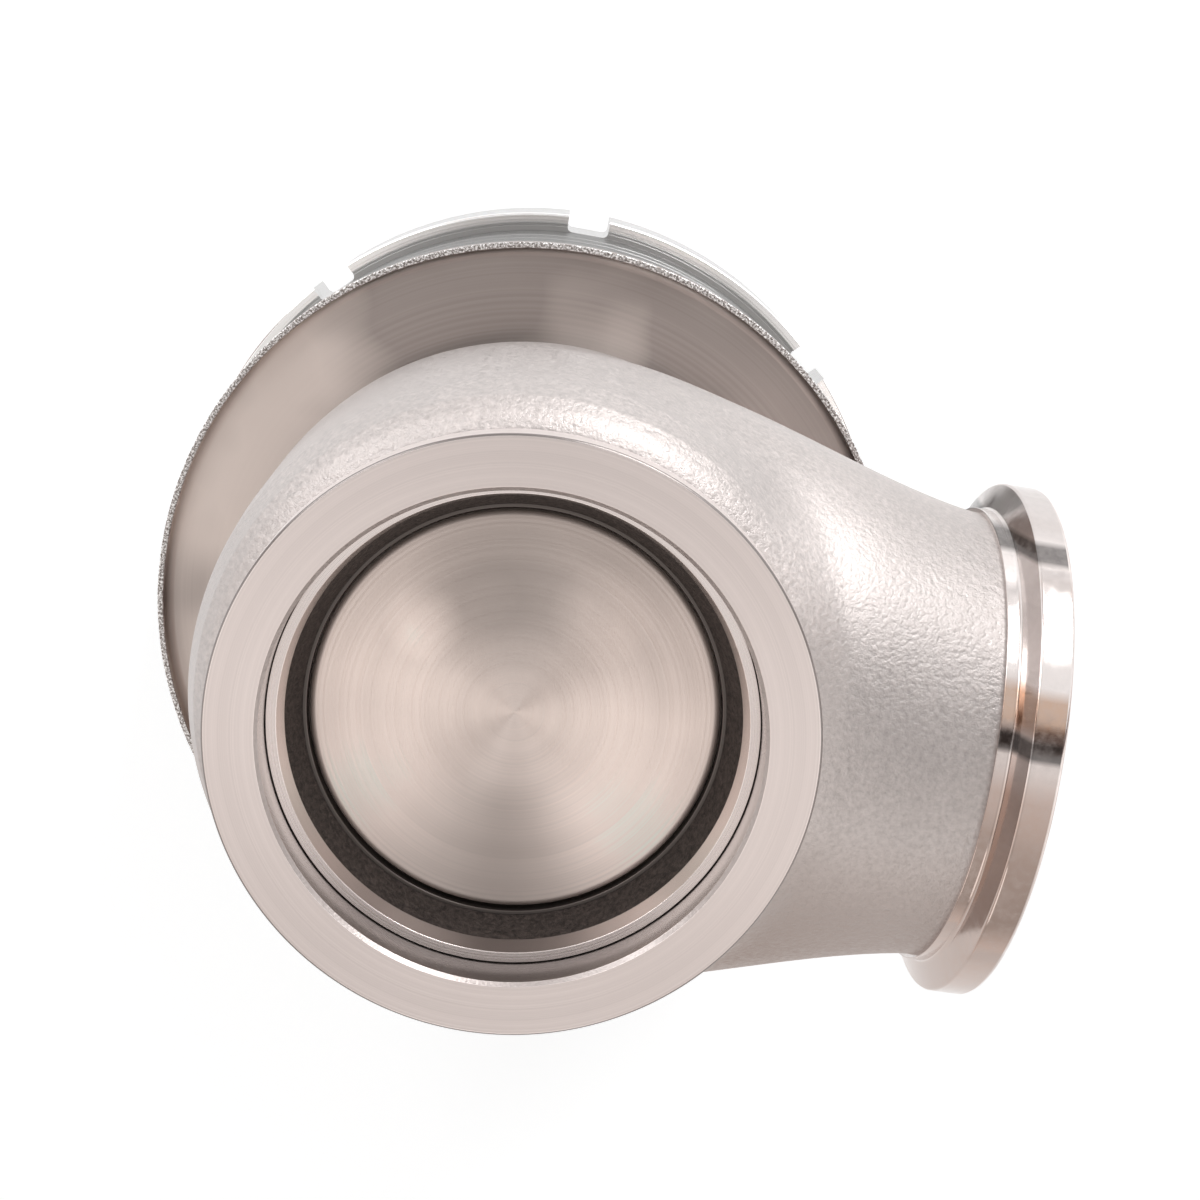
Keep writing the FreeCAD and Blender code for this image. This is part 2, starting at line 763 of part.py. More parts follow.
seal_pocket = base_start + mm.bush_length + mm.static_gap * 2
circlip_start = seal_pocket + mm.stem_seal_height
circlip_end = circlip_start + mm.circlip_thickness + mm.static_gap * 2
thread_radius = collar_thread_radius - mm.static_gap * 2
thread_start = collar_start - mm.static_gap * 2
base = new_body("actuator_base")
turned(base, [
    (mm.bush_radius, base_start),
    (body_land_radius, base_start),
    (body_land_radius, base_land),
    (mm.base_radius - mm.base_bevel, base_land),
    (mm.base_radius, base_land + mm.base_bevel),
] + band_groove(band_groove_first) + band_groove(band_groove_first
                                                   + mm.band_groove_pitch) + [
    (mm.base_radius, thread_start - edge),
    (mm.base_radius - edge, thread_start),
    (thread_radius, thread_start),
    (thread_radius, base_rim_depth),
    (base_bore_radius, base_rim_depth),
    (base_bore_radius, base_floor_end, mm.base_bore_round),
    (mm.base_boss_radius, base_floor_end),
    (mm.base_boss_radius, boss_end),
    (mm.stem_seal_radius, boss_end),
    (mm.stem_seal_radius, circlip_end),
    (mm.circlip_groove_radius, circlip_end),
    (mm.circlip_groove_radius, circlip_start),
    (mm.stem_seal_radius, circlip_start),
    (mm.stem_seal_radius, seal_pocket),
    (mm.bush_radius, seal_pocket),
])
drilled(base, mm.screw_hole_radius, screw_circle, base_start, washer_seat,
        mm.screw_count, SCREW_ANGLE)
drilled(base, mm.counterbore_radius, screw_circle, washer_seat, bore_round_end,
        mm.screw_count, SCREW_ANGLE)
port_edge = port_depth + mm.port_radius
for angle in (SIGNAL_PORT_ANGLE, PLUGGED_PORT_ANGLE):
    port_start = base_bore_radius - edge * 4
    port_mouth = mm.base_radius + edge * 4
    turned(base, ring(port_start, port_mouth, port_depth, port_edge), True,
           ((port_start, port_depth), (port_mouth, port_depth)), angle)
finish(base)

plain_turned("stem_bush", ring(stem_bore, mm.bush_radius - mm.static_gap,
                               base_start + mm.static_gap, base_start + mm.bush_length))
plain_turned("stem_seal", ring(stem_bore, mm.stem_seal_radius - mm.static_gap,
                               seal_pocket + mm.static_gap, circlip_start))

circlip = new_body("seal_circlip")
circlip_outer = mm.circlip_groove_radius - mm.static_gap
turned(circlip, ring(circlip_outer - mm.circlip_width, circlip_outer,
                     circlip_start + mm.static_gap, circlip_end - mm.static_gap))
half_opening = mm.circlip_opening * 0.5
milled(circlip, [
    (half_opening * -1.0, mm.stem_radius),
    (half_opening, mm.stem_radius),
    (half_opening, mm.base_boss_radius),
    (half_opening * -1.0, mm.base_boss_radius),
], circlip_start, mm.circlip_thickness * 2.0)
finish(circlip)

# ---------------------------------------------------------------- screws


def socket_screws(label, circle, radii, depths, socket, count, turn):
    """A ring of socket head screws as one piece: radii and depths from the tip to the head."""
    shank, head = radii
    tip, under_head, top = depths
    body = new_body(label)
    outline = [
        (circle, tip),
        (circle + shank - edge, tip),
        (circle + shank, tip + edge),
        (circle + shank, under_head),
        (circle + head, under_head),
        (circle + head, top, edge),
        (circle, top),
    ]
    screw = turned(body, outline, about=((circle, tip), (circle, top)), turn=turn)
    socket_radius, socket_depth = socket
    doc.recompute()
    recess = milled(body, hexagon(circle, socket_radius), top - socket_depth, socket_depth, turn)
    around(body, [screw, recess], count)
    return finish(body)


socket_screws("body_screws", screw_circle,
              (mm.screw_radius - mm.static_gap, mm.screw_head_radius),
              (washer_end - mm.screw_length, washer_end, washer_end + mm.screw_head_height),
              (mm.screw_socket_radius, mm.screw_socket_depth), mm.screw_count, SCREW_ANGLE)

washers = new_body("screw_washers")
washer = turned(washers, ring(screw_circle + mm.screw_hole_radius,
                              screw_circle + mm.washer_radius, washer_seat, washer_end),
                about=((screw_circle, washer_seat), (screw_circle, washer_end)),
                turn=SCREW_ANGLE)
around(washers, [washer], mm.screw_count)
finish(washers)


def headless_plug(label, radius, inner_end, length, socket, depth, angle):
    """A threaded plug with a hexagon socket, lying along the radius at that depth."""
    shape = doc.addObject("Part::Cylinder", label + "_blank")
    recess = doc.addObject("Part::Prism", label + "_socket")
    recess.Polygon = 6
    for piece, size, height, start in ((shape, radius, length, inner_end),
                                       (recess, socket[0], socket[1],
                                        inner_end + length - socket[1])):
        piece.setExpression("Circumradius" if piece is recess else "Radius", size.text)
        piece.setExpression("Height", height.text)
        piece.setExpression("Placement.Base.z", start.text)
    plug = boolean("Cut", label, shape, recess)
    radial = Rotation(Vector(0, 0, 1), angle) * Rotation(Vector(0, 1, 0), 90)
    plug.Placement = upside_down * Placement(Vector(0, 0, depth.value), radial)
    plug.setExpression("Placement.Base.z", (depth * -1.0).text)
    return finish(plug)


headless_plug("port_plug", mm.port_radius - mm.static_gap,
              mm.base_radius - mm.port_plug_length - edge * 2, mm.port_plug_length,
              (mm.port_socket_radius, mm.port_socket_depth), port_depth, PLUGGED_PORT_ANGLE)

# ---------------------------------------------------------------- diaphragm and spring cup

bead_start = base_rim_depth + mm.static_gap
bead_end = diaphragm_clamp - mm.static_gap
web_start = cup_rim_depth + mm.static_gap
web_end = ring_start - mm.static_gap
roll_inner = cup_flange_radius + mm.roll_gap
cap_bore = cap_radius - mm.cap_wall
roll_outer = cap_bore - mm.roll_gap
roll_wall = mm.roll_wall
diaphragm = new_body("diaphragm")
turned(diaphragm, [
    (diaphragm_hole_radius, web_start),
    (roll_inner + roll_wall, web_start, roll_wall),
    (roll_inner + roll_wall, roll_height - roll_wall, roll_wall * 0.7),
    (roll_outer - roll_wall, roll_height - roll_wall, roll_wall * 0.7),
    (roll_outer - roll_wall, bead_start),
    (bead_radius, bead_start),
    (bead_radius, bead_end),
    (roll_outer, bead_end),
    (roll_outer, roll_height, roll_wall * 1.4),
    (roll_inner, roll_height, roll_wall * 1.4),
    (roll_inner, web_end),
    (diaphragm_hole_radius, web_end),
])
drilled(diaphragm, ring_hole, ring_screw_circle, web_start, web_end, mm.ring_screw_count, 0.0)
finish(diaphragm)

cup = new_body("spring_cup")
cup_bore = cup_radius - mm.cup_wall
turned(cup, [
    (mm.stem_thread_radius + mm.static_gap, cup_floor_depth),
    (cup_radius, cup_floor_depth, mm.cup_round),
    (cup_radius, cup_rim_depth - mm.cup_flange),
    (cup_flange_radius, cup_rim_depth - mm.cup_flange),
    (cup_flange_radius, cup_rim_depth),
    (cup_bore, cup_rim_depth),
    (cup_bore, cup_floor_top, mm.cup_round * 0.5),
    (mm.stem_thread_radius + mm.static_gap, cup_floor_top),
])
drilled(cup, mm.ring_screw_radius, ring_screw_circle, cup_rim_depth - mm.cup_flange,
        cup_rim_depth, mm.ring_screw_count, 0.0)
finish(cup)

clamp_ring = new_body("diaphragm_ring")
turned(clamp_ring, [
    (ring_inner_radius, ring_start),
    (cup_flange_radius, ring_start),
    (cup_flange_radius, ring_end, edge * 2),
    (ring_inner_radius, ring_end),
])
drilled(clamp_ring, ring_hole, ring_screw_circle, ring_start, ring_end,
        mm.ring_screw_count, 0.0)
finish(clamp_ring)

socket_screws("diaphragm_screws", ring_screw_circle,
              (mm.ring_screw_radius - mm.static_gap, mm.ring_screw_head_radius),
              (cup_rim_depth - mm.cup_flange + edge, ring_end,
               ring_end + mm.ring_screw_head_height),
              (mm.ring_screw_socket_radius, edge * 2), mm.ring_screw_count, 0.0)

plain_turned("stem_washer", ring(mm.stem_thread_radius + mm.static_gap, mm.nut_washer_radius,
                                 cup_floor_top, nut_start))

nut_blank = doc.addObject("Part::Prism", "nut_blank")
nut_blank.Polygon = 6
nut_blank.setExpression("Circumradius", (mm.nut_across_flats * (1 / math.sqrt(3))).text)
nut_blank.setExpression("Height", mm.nut_height.text)
nut_blank.setExpression("Placement.Base.z", nut_start.text)
nut_turning = new_body("nut_turning")
nut_corner = mm.nut_across_flats * 0.58
nut_end = nut_start + mm.nut_height
turned(nut_turning, [
    (mm.stem_thread_radius + mm.static_gap, nut_start),
    (nut_corner, nut_start),
    (nut_corner, nut_end - edge),
    (mm.nut_across_flats * 0.47, nut_end),
    (mm.stem_thread_radius + mm.static_gap, nut_end),
])
finish(boolean("Common", "stem_nut", nut_blank, nut_turning))

# ---------------------------------------------------------------- springs


SPRING_STEPS = 16  # sections in each turn


def coil_spring(label, radius, wire, coils):
    """A coil spring with closed ends, lofted through eight-sided sections of its wire.

    The first and last turns climb by little more than the wire's own thickness, so they lie
    against the next turn. The turns between share the rest of the height."""
    spring = doc.addObject("Part::Feature", label)
    wire_radius = wire.value / 2
    low = cup_floor_top.value + wire_radius + mm.static_gap.value
    high = spring_top.value - wire_radius - mm.static_gap.value
    closed_climb = wire.value + mm.static_gap.value * 2
    open_climb = (high - low - 2 * closed_climb) / coils.value
    sections = []
    for step in range((int(coils.value) + 2) * SPRING_STEPS + 1):
        turns = step / SPRING_STEPS
        open_turns = min(max(turns - 1, 0), coils.value)
        level = low + open_turns * open_climb + (turns - open_turns) * closed_climb
        outwards = Vector(math.cos(2 * math.pi * turns), math.sin(2 * math.pi * turns), 0)
        centre = outwards * radius.value + Vector(0, 0, level)
        corners = []
        for corner in range(8):
            angle = math.pi / 4 * (corner + 0.5)
            corners.append(centre + outwards * (wire_radius * math.cos(angle))
                           + Vector(0, 0, wire_radius * math.sin(angle)))
        sections.append(Part.makePolygon(corners + corners[:1]))
    spring.Shape = Part.makeLoft(sections, True, True)
    return finish(spring)


coil_spring("outer_spring", outer_spring_radius, mm.outer_spring_wire, mm.outer_spring_coils)
coil_spring("middle_spring", middle_spring_radius, mm.middle_spring_wire,
            mm.middle_spring_coils)
coil_spring("inner_spring", inner_spring_radius, mm.inner_spring_wire, mm.inner_spring_coils)

# ---------------------------------------------------------------- cap and locking collar

boss_face = spring_top - mm.cap_boss_height
cap = new_body("actuator_cap")
turned(cap, [
    (mm.port_radius, boss_face),
    (cap_boss_radius, boss_face),
    (cap_boss_radius, spring_top),
    (cap_bore, spring_top, mm.cap_round),
    (cap_bore, diaphragm_clamp),
    (cap_flange_radius, diaphragm_clamp),
    (cap_flange_radius, cap_flange_end),
    (cap_radius, cap_flange_end),
    (cap_radius, cap_end, mm.cap_round),
    (mm.cap_recess_radius, cap_end),
    (mm.cap_recess_radius, cap_end - mm.cap_recess_depth),
    (mm.port_radius, cap_end - mm.cap_recess_depth),
])
finish(cap)

collar = new_body("locking_collar")
lip_radius = cap_radius + mm.static_gap * 4
turned(collar, [
    (collar_thread_radius, collar_start),
    (collar_radius - mm.collar_bevel, collar_start),
    (collar_radius, collar_start + mm.collar_bevel),
    (collar_radius, collar_end - mm.collar_bevel),
    (collar_radius - mm.collar_bevel, collar_end),
    (lip_radius, collar_end),
    (lip_radius, collar_lip_start),
    (collar_thread_radius, collar_lip_start),
])
half_notch = mm.notch_width * 0.5
notch_floor = collar_radius - mm.notch_depth
doc.recompute()
notch = milled(collar, [
    (notch_floor, half_notch * -1.0, edge * 2),
    (collar_radius + edge * 4, half_notch * -1.0),
    (collar_radius + edge * 4, half_notch),
    (notch_floor, half_notch, edge * 2),
], collar_start, collar_end - collar_start)
around(collar, [notch], mm.notch_count)
lock_depth = collar_start + (base_rim_depth - collar_start) * 0.5
lock_start = collar_thread_radius - edge
lock_end = collar_radius + edge
turned(collar, ring(lock_start, lock_end, lock_depth, lock_depth + mm.lock_screw_radius), True,
       ((lock_start, lock_depth), (lock_end, lock_depth)), LOCK_SCREW_ANGLE)
finish(collar)
headless_plug("collar_lock_screw", mm.lock_screw_radius - mm.static_gap,
              thread_radius, collar_radius - mm.collar_bevel - thread_radius,
              (mm.lock_screw_socket_radius, mm.lock_screw_socket_depth), lock_depth,
              LOCK_SCREW_ANGLE)

# ---------------------------------------------------------------- place, check and write

for piece in parts:
    if piece.Placement.isIdentity():
        piece.Placement = upside_down
doc.recompute()

for item in doc.Objects:
    if "Invalid" in item.State or "Error" in item.State:
        raise RuntimeError(f"{item.Label}: {item.State}")
for piece in parts:
    if piece.Shape.isNull() or not piece.Shape.isValid():
        raise RuntimeError(f"{piece.Label} has no valid shape")

os.makedirs("parts", exist_ok=True)
for piece in parts:
    piece.Shape.exportStep(f"parts/{piece.Label}.step")
    print(f"{piece.Label:20s} solids {len(piece.Shape.Solids):2d}  "
          f"volume {piece.Shape.Volume / 1000:8.2f} cm3")
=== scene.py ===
"""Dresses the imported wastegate: smooth surfaces over the CAD pieces, finishes, light and camera."""

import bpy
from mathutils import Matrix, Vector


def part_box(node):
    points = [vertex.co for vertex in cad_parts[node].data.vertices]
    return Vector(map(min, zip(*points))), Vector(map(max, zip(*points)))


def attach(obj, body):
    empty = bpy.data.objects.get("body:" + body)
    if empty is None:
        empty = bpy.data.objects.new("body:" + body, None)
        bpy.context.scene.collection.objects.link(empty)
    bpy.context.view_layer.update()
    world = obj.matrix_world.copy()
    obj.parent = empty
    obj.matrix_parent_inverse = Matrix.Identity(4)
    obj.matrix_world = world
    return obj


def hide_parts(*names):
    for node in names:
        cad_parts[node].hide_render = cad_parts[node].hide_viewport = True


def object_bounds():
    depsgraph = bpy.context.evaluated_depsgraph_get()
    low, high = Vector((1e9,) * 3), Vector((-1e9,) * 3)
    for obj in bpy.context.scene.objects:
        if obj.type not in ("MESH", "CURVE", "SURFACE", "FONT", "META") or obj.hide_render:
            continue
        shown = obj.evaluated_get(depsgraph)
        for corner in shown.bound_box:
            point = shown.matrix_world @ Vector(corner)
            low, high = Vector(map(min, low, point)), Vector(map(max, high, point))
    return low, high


bl_info = {
    "name": "Turbo wastegate",
    "version": (1, 0, 0),
    "blender": (4, 5, 0),
    "location": "View3D > Sidebar > Wastegate",
    "description": "Builds the visible surfaces and finishes of a V-band wastegate",
    "category": "Mesh",
}

import math

import bmesh
import bpy
import numpy as np
from bpy.props import FloatProperty, FloatVectorProperty, IntProperty, PointerProperty
from bpy.types import Operator, Panel, PropertyGroup
from mathutils import Matrix

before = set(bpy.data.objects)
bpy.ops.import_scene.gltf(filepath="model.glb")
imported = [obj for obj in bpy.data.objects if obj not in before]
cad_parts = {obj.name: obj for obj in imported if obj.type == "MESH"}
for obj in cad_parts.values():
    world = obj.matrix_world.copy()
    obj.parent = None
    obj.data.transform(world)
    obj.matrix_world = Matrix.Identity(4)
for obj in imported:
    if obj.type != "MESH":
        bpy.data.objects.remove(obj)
CAD_BOX = [list(corner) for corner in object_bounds()]

MM = 0.001
TURN_STEPS = 256  # points round a turned surface
EDGE_ROUND = 0.00012  # round of a corner that names none
EDGE_SUPPORT = 0.00006  # flat strip beside a round, so that shading stays level
ARC_STEPS = 4
SQUARE = math.pi / 2

# Depth past the clamp's groove and swell past the shoulder's radius, down the barrel, in mm.
BARREL_PROFILE = ((0.0, -2.9), (0.35, -1.7), (1.0, -0.6), (2.2, 0.8), (4.2, 2.35), (10.0, 4.0),
                  (12.5, 4.2), (20.0, 4.4), (50.5, 4.4), (58.0, 4.1))

# Painted highlights and painted shade in soft patches: x, y, radius and gain.
# On the valve's face: painted highlights in two low lobes and at the upper left, painted shade across
# the top.
VALVE_PAINTED_SHEEN = ((-0.0185, -0.0155, 0.0135, 0.15), (0.0185, -0.0135, 0.0135, 0.15),
               (-0.006, 0.016, 0.013, -0.24), (-0.015, 0.0105, 0.006, 0.22),
               (0.010, 0.016, 0.008, 0.18), (0.021, 0.009, 0.008, -0.08))
# On the branch: painted shade beside the outlet flange and a painted highlight on the seam.
BRANCH_PAINTED_SHEEN = ((0.060, 0.012, 0.026, -0.22), (0.038, 0.029, 0.012, 0.18))


def length(name, description, default):
    """A size in metres that a user may change."""
    return FloatProperty(name=name, description=description, default=default,
                         unit="LENGTH", precision=5)


def tint(name, description, default):
    """A colour that a user may change."""
    return FloatVectorProperty(name=name, description=description, default=default,
                               subtype="COLOR", size=3, min=0.0, max=1.0)


def widest(node):
    """Largest radius of a turned CAD node about the valve's axis."""
    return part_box(node)[1].y


def near_end(node):
    """Depth below the inlet face at which a CAD node starts."""
    return -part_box(node)[1].z


def far_end(node):
    """Depth below the inlet face at which a CAD node ends."""
    return -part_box(node)[0].z


# ------------------------------------------------------------------ sizes and colours


class CastingSizes(PropertyGroup):
    """Sizes of the cast valve body."""

    barrel_radius: length("Barrel radius", "Widest radius of the cast barrel", 0.0478)
    shoulder_radius: length("Shoulder radius", "Radius where the clamp's groove ends", 0.0434)
    shoulder_depth: length("Shoulder depth", "Depth where the clamp's groove ends", 0.0115)
    land_radius: length("Land radius", "Radius of the barrel at the bonnet", 0.046)
    body_length: length("Body length", "Depth of the joint with the bonnet",
                        near_end("body_gasket"))
    chamber_radius: length("Chamber radius", "Inside radius behind the seat", 0.0423)
    rear_bore: length("Rear bore radius", "Bore that takes the bonnet's spigot", 0.0335)
    seam_round: length("Seam round", "Softness where the branch meets the barrel", 0.0045)


class InletSizes(PropertyGroup):
    """Sizes of the inlet flange and of the bore behind it."""

    radius: length("Rim radius", "Outer radius of the inlet flange", 0.0425)
    rim: length("Rim width", "Width of the flange's outer edge", 0.005)
    root: length("Root radius", "Radius of the clamp's groove", 0.0381)
    register: length("Register radius", "Recess that locates the pipe", 0.0347)
    register_depth: length("Register depth", "Depth of that recess", 0.008)
    mouth: length("Mouth radius", "Bore behind the recess", 0.0331)
    throat: length("Throat radius", "Bore just before the seat", 0.0302)
    seat_depth: length("Seat depth", "Depth at which the seat ring starts", 0.0164)


class OutletSizes(PropertyGroup):
    """Sizes of the outlet branch and its flange."""

    axis_depth: length("Axis depth", "Depth at which the outlet's axis leaves", 0.0446)
    tilt: FloatProperty(name="Tilt", description="Lean of the outlet towards the actuator",
                        default=math.radians(4.0), subtype="ANGLE")
    start_width: length("Start half width", "Half the branch's width at the barrel", 0.0474)
    start_height: length("Start half height", "Half its height at the barrel", 0.0366)
    neck: length("Neck radius", "Radius behind the flange", 0.0348)
    neck_end: length("Neck end", "Distance from the valve's axis to the neck's end", 0.0664)
    radius: length("Rim radius", "Outer radius of the outlet flange", 0.040)
    rim: length("Rim width", "Width of the flange's outer edge", 0.005)
    root: length("Root radius", "Radius under the clamp", 0.0356)
    face: length("Face distance", "Distance from the valve's axis to the face", 0.0751)
    register: length("Register radius", "Recess that locates the pipe", 0.033)
    register_depth: length("Register depth", "Depth of that recess", 0.003)
    bore: length("Bore radius", "Radius of the outlet's bore", 0.030)
    duct_height: length("Duct half height", "Half the duct's height in the chamber", 0.017)
    duct_end: length("Duct end", "Distance at which the duct is round", 0.062)


class ValveSizes(PropertyGroup):
    """Sizes of the valve, its seat and the bonnet that guides it."""

    face_radius: length("Face radius", "Radius of the valve's flat face", 0.0293)
    face_depth: length("Face depth", "Depth of the face's edge", 0.0171)
    crown: length("Crown", "How far the face rises at its middle", 0.0005)
    rim_radius: length("Rim radius", "Widest radius of the valve", widest("valve"))
    stem_radius: length("Stem radius", "Radius of the stem", 0.00475)
    stem_end: length("Stem end", "Depth of the stem's end", far_end("valve"))
    seat_bore: length("Seat bore", "Radius of the seat ring's bore", 0.02975)
    boss_radius: length("Boss radius", "Radius of the bonnet's boss", 0.014)
    guide_radius: length("Guide radius", "Outer radius of the valve guide", 0.009)


class ShieldSizes(PropertyGroup):
    """Sizes of the spun heat shield."""

    radius: length("Rim radius", "Outer radius of the shield", widest("heat_shield"))
    sheet: length("Sheet", "Thickness of the sheet", 0.001)
    flat_radius: length("Flat radius", "Radius that is clamped flat", 0.048)
    bend: length("Bend", "Inside radius of the corner", 0.0022)
    rim_depth: length("Rim depth", "Depth of the rim's edge", near_end("heat_shield"))
    hole: length("Hole", "Radius of the hole in the middle", 0.012)


class CanSizes(PropertyGroup):
    """Sizes of the actuator's base, cap and locking collar."""

    base_radius: length("Base radius", "Outer radius of the can", widest("actuator_base"))
    base_bore: length("Base bore", "Inner radius of the can", 0.053)
    band_first: length("First band", "Depth of the first turned band", 0.112)
    band_second: length("Second band", "Depth of the second turned band", 0.121)
    port_radius: length("Port radius", "Radius of the pressure ports", 0.0043)
    port_depth: length("Port depth", "Depth of the side ports", 0.112)
    cap_radius: length("Cap radius", "Radius of the cap's crown", 0.0565)
    collar_radius: length("Collar radius", "Outer radius of the collar",
                          widest("locking_collar"))
    notch_width: length("Notch width", "Width of a spanner notch", 0.0076)
    notch_depth: length("Notch depth", "Depth of a spanner notch", 0.0032)
    notch_count: IntProperty(name="Notches", description="Number of spanner notches",
                             default=8, min=2)


class FinishColours(PropertyGroup):
    """Colours of the metal and of the soft pieces."""

    cast: tint("Casting", "Bead blasted cast stainless steel", (0.60, 0.553, 0.537))
    # Colour of painted shade: the casting's underside and the low part of the outlet's rim.
    underside_shade: tint("Casting's underside", "Heat darkened casting", (0.34, 0.26, 0.225))
    cast_inside: tint("Inside of the casting", "Rough cast passage", (0.050, 0.040, 0.036))
    machined: tint("Machined face", "Satin turned flange face", (0.77, 0.695, 0.67))
    polished: tint("Polished rim", "Bright turned rim", (0.76, 0.70, 0.68))
    # Colour of a painted reflection: the copper on the outlet's rim.
    copper_reflection: tint("Heat tint", "Copper tint on the outlet's rim", (0.35, 0.25, 0.195))
    valve: tint("Valve", "Turned valve head", (0.80, 0.70, 0.65))
    # Colour of the painted highlights on the heat shield.
    shield_painted_sheen: tint("Shield's sheen", "Pale patches on the sheet", (0.78, 0.69, 0.64))
    shield: tint("Heat shield", "Brushed sheet", (0.375, 0.328, 0.307))
    can: tint("Actuator can", "Satin aluminium", (0.46, 0.455, 0.45))
    collar: tint("Collar", "Polished aluminium", (0.95, 0.945, 0.94))
    steel: tint("Fasteners", "Plain steel", (0.33, 0.33, 0.34))
    bronze: tint("Bronze", "Guide and bush", (0.52, 0.33, 0.14))
    graphite: tint("Graphite", "Gaskets", (0.035, 0.035, 0.038))
    rubber: tint("Rubber", "Diaphragm and seal", (0.018, 0.018, 0.020))
    lacquer: tint("Lacquer", "Spring coating", (0.045, 0.07, 0.17))


GROUPS = {
    "wastegate_casting": CastingSizes,
    "wastegate_inlet": InletSizes,
    "wastegate_outlet": OutletSizes,
    "wastegate_valve": ValveSizes,
    "wastegate_shield": ShieldSizes,
    "wastegate_can": CanSizes,
    "wastegate_colours": FinishColours,
}


def groups(context, *names):
    """The scene's groups of sizes or colours with the given names."""
    return [getattr(context.scene, "wastegate_" + name) for name in names]


# ------------------------------------------------------------------ surfaces


def softened(corners):
    """A closed outline with every corner turned into a small arc.

    A corner is (radius, depth) or (radius, depth, round). The arc is the rational quadratic
    curve through the two points where it touches the sides, with the corner as its middle
    point, weighted by the sine of half the corner's angle, which makes it a true circle. A
    corner on the axis stays sharp."""
    outline = []
    nearly_straight = math.radians(88)
    places = np.array([corner[:2] for corner in corners], float)
    for number, corner in enumerate(corners):
        here = places[number]
        if here[0] == 0:
            outline.append(here[None, :])
            continue
        sides = np.array([places[number - 1], places[(number + 1) % len(places)]]) - here
        spans = np.linalg.norm(sides, axis=1)
        ways = sides / spans[:, None]
        half_angle = math.acos(np.clip(ways[0] @ ways[1], -1, 1)) / 2
        if half_angle > nearly_straight:
            outline.append(here[None, :])
            continue
        named = len(corner) > 2
        wanted = corner[2] if named else EDGE_ROUND
        reach = min(wanted / math.tan(half_angle), spans.min() * 0.45)
        support = min(reach * 0.3, EDGE_SUPPORT)
        touch = here + ways * reach
        share = np.linspace(0, 1, ARC_STEPS * (3 if named else 1) + 1)[:, None]
        middle = 2 * math.sin(half_angle) * share * (1 - share)
        weights = (1 - share) ** 2 + middle + share ** 2
        arc = ((1 - share) ** 2 * touch[0] + middle * here + share ** 2 * touch[1]) / weights
        outline.extend([touch[:1] + ways[:1] * support, arc, touch[1:] + ways[1:] * support])
    return np.concatenate(outline)


def turned_grid(outline):
    """A turned surface: the point (u, v) is the outline's point u carried round by angle v."""
    angle = np.linspace(0, 2 * math.pi, TURN_STEPS, endpoint=False)
    radius, depth = outline[:, :1], outline[:, 1:]
    return np.stack([radius * np.cos(angle), radius * np.sin(angle),
                     -depth + 0 * angle], axis=2)


def grid_mesh(name, grid, wrap_rows=True):
    """A mesh from a grid of points that closes round its columns.

    Rows that don't wrap end in a pole. Points that fall together are merged, so poles close,
    and the faces are turned outwards."""
    rows, columns = grid.shape[:2]
    row = np.arange(rows if wrap_rows else rows - 1)[:, None]
    column = np.arange(columns)[None, :]
    after_row, after_column = (row + 1) % rows, (column + 1) % columns
    quads = np.stack([row * columns + column, row * columns + after_column,
                      after_row * columns + after_column, after_row * columns + column],
                     axis=2).reshape(-1, 4)
    mesh = bpy.data.meshes.new(name)
    mesh.from_pydata(grid.reshape(-1, 3), [], quads)
    cleaned(mesh)
    return mesh


def cleaned(mesh):
    """Merges doubled points, drops empty faces and turns the rest outwards."""
    work = bmesh.new()
    work.from_mesh(mesh)
    bmesh.ops.remove_doubles(work, verts=work.verts, dist=1e-7)
    bmesh.ops.dissolve_degenerate(work, edges=work.edges, dist=1e-8)
    bmesh.ops.recalc_face_normals(work, faces=work.faces)
    work.to_mesh(mesh)
    work.free()


def smooth(mesh):
    """Smooth shading with creases where faces meet at more than 32 degrees."""
    mesh.shade_smooth()
    mesh.set_sharp_from_angle(angle=math.radians(32))


def placed(name, contents):
    """An object in the scene with the given mesh, lamp or camera."""
    made = bpy.data.objects.new(name, contents)
    bpy.context.scene.collection.objects.link(made)
    return made


def turned_mesh(name, corners):
    """The mesh of a turned shape from the corners of its outline."""
    return grid_mesh(name, turned_grid(softened(corners)))


def piece(name, mesh, finishes, slot, body="housing", stands_for=()):
    """Puts a finished mesh in the scene, riding on its body."""
    made = placed(name, mesh)
    for finish in finishes:
        mesh.materials.append(finish)
    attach(made, body)
    if stands_for:
        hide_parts(*stands_for)


def turned_piece(name, corners, finishes, slot, **facts):
    """A turned piece from the corners of its outline."""
    mesh = turned_mesh(name, corners)
    smooth(mesh)
    piece(name, mesh, finishes, slot, **facts)


def tool(name, mesh, finish):
    """A loose object to cut with, which leaves its finish on the walls that it cuts."""
    mesh.materials.append(finish)
    return placed(name, mesh)


def side_drill(name, radius, start, end, turn, depth, finish):
    """A tool that bores in towards the valve's axis, from radius end to radius start."""
    mesh = turned_mesh(name, [(0, -start), (radius, -start), (radius, -end), (0, -end)])
    mesh.transform(Matrix.Rotation(turn, 4, "Z") @ Matrix.Translation((0, 0, -depth))
                   @ Matrix.Rotation(SQUARE, 4, "Y"))
    return tool(name, mesh, finish)


def carved(mesh, cutters):
    """The mesh with each cutter's room taken out of it. The cutters are used up."""
    work = placed("work", mesh)
    for cutter in cutters:
        cut = work.modifiers.new("cut", "BOOLEAN")
        cut.operation = "DIFFERENCE"
        cut.solver = "EXACT"
        cut.material_mode = "TRANSFER"
        cut.object = cutter
    settled = work.evaluated_get(bpy.context.evaluated_depsgraph_get())
    result = bpy.data.meshes.new_from_object(settled)
    result.name = mesh.name
    for used in [work, *cutters]:
        bpy.data.objects.remove(used)
    smooth(result)
    return result


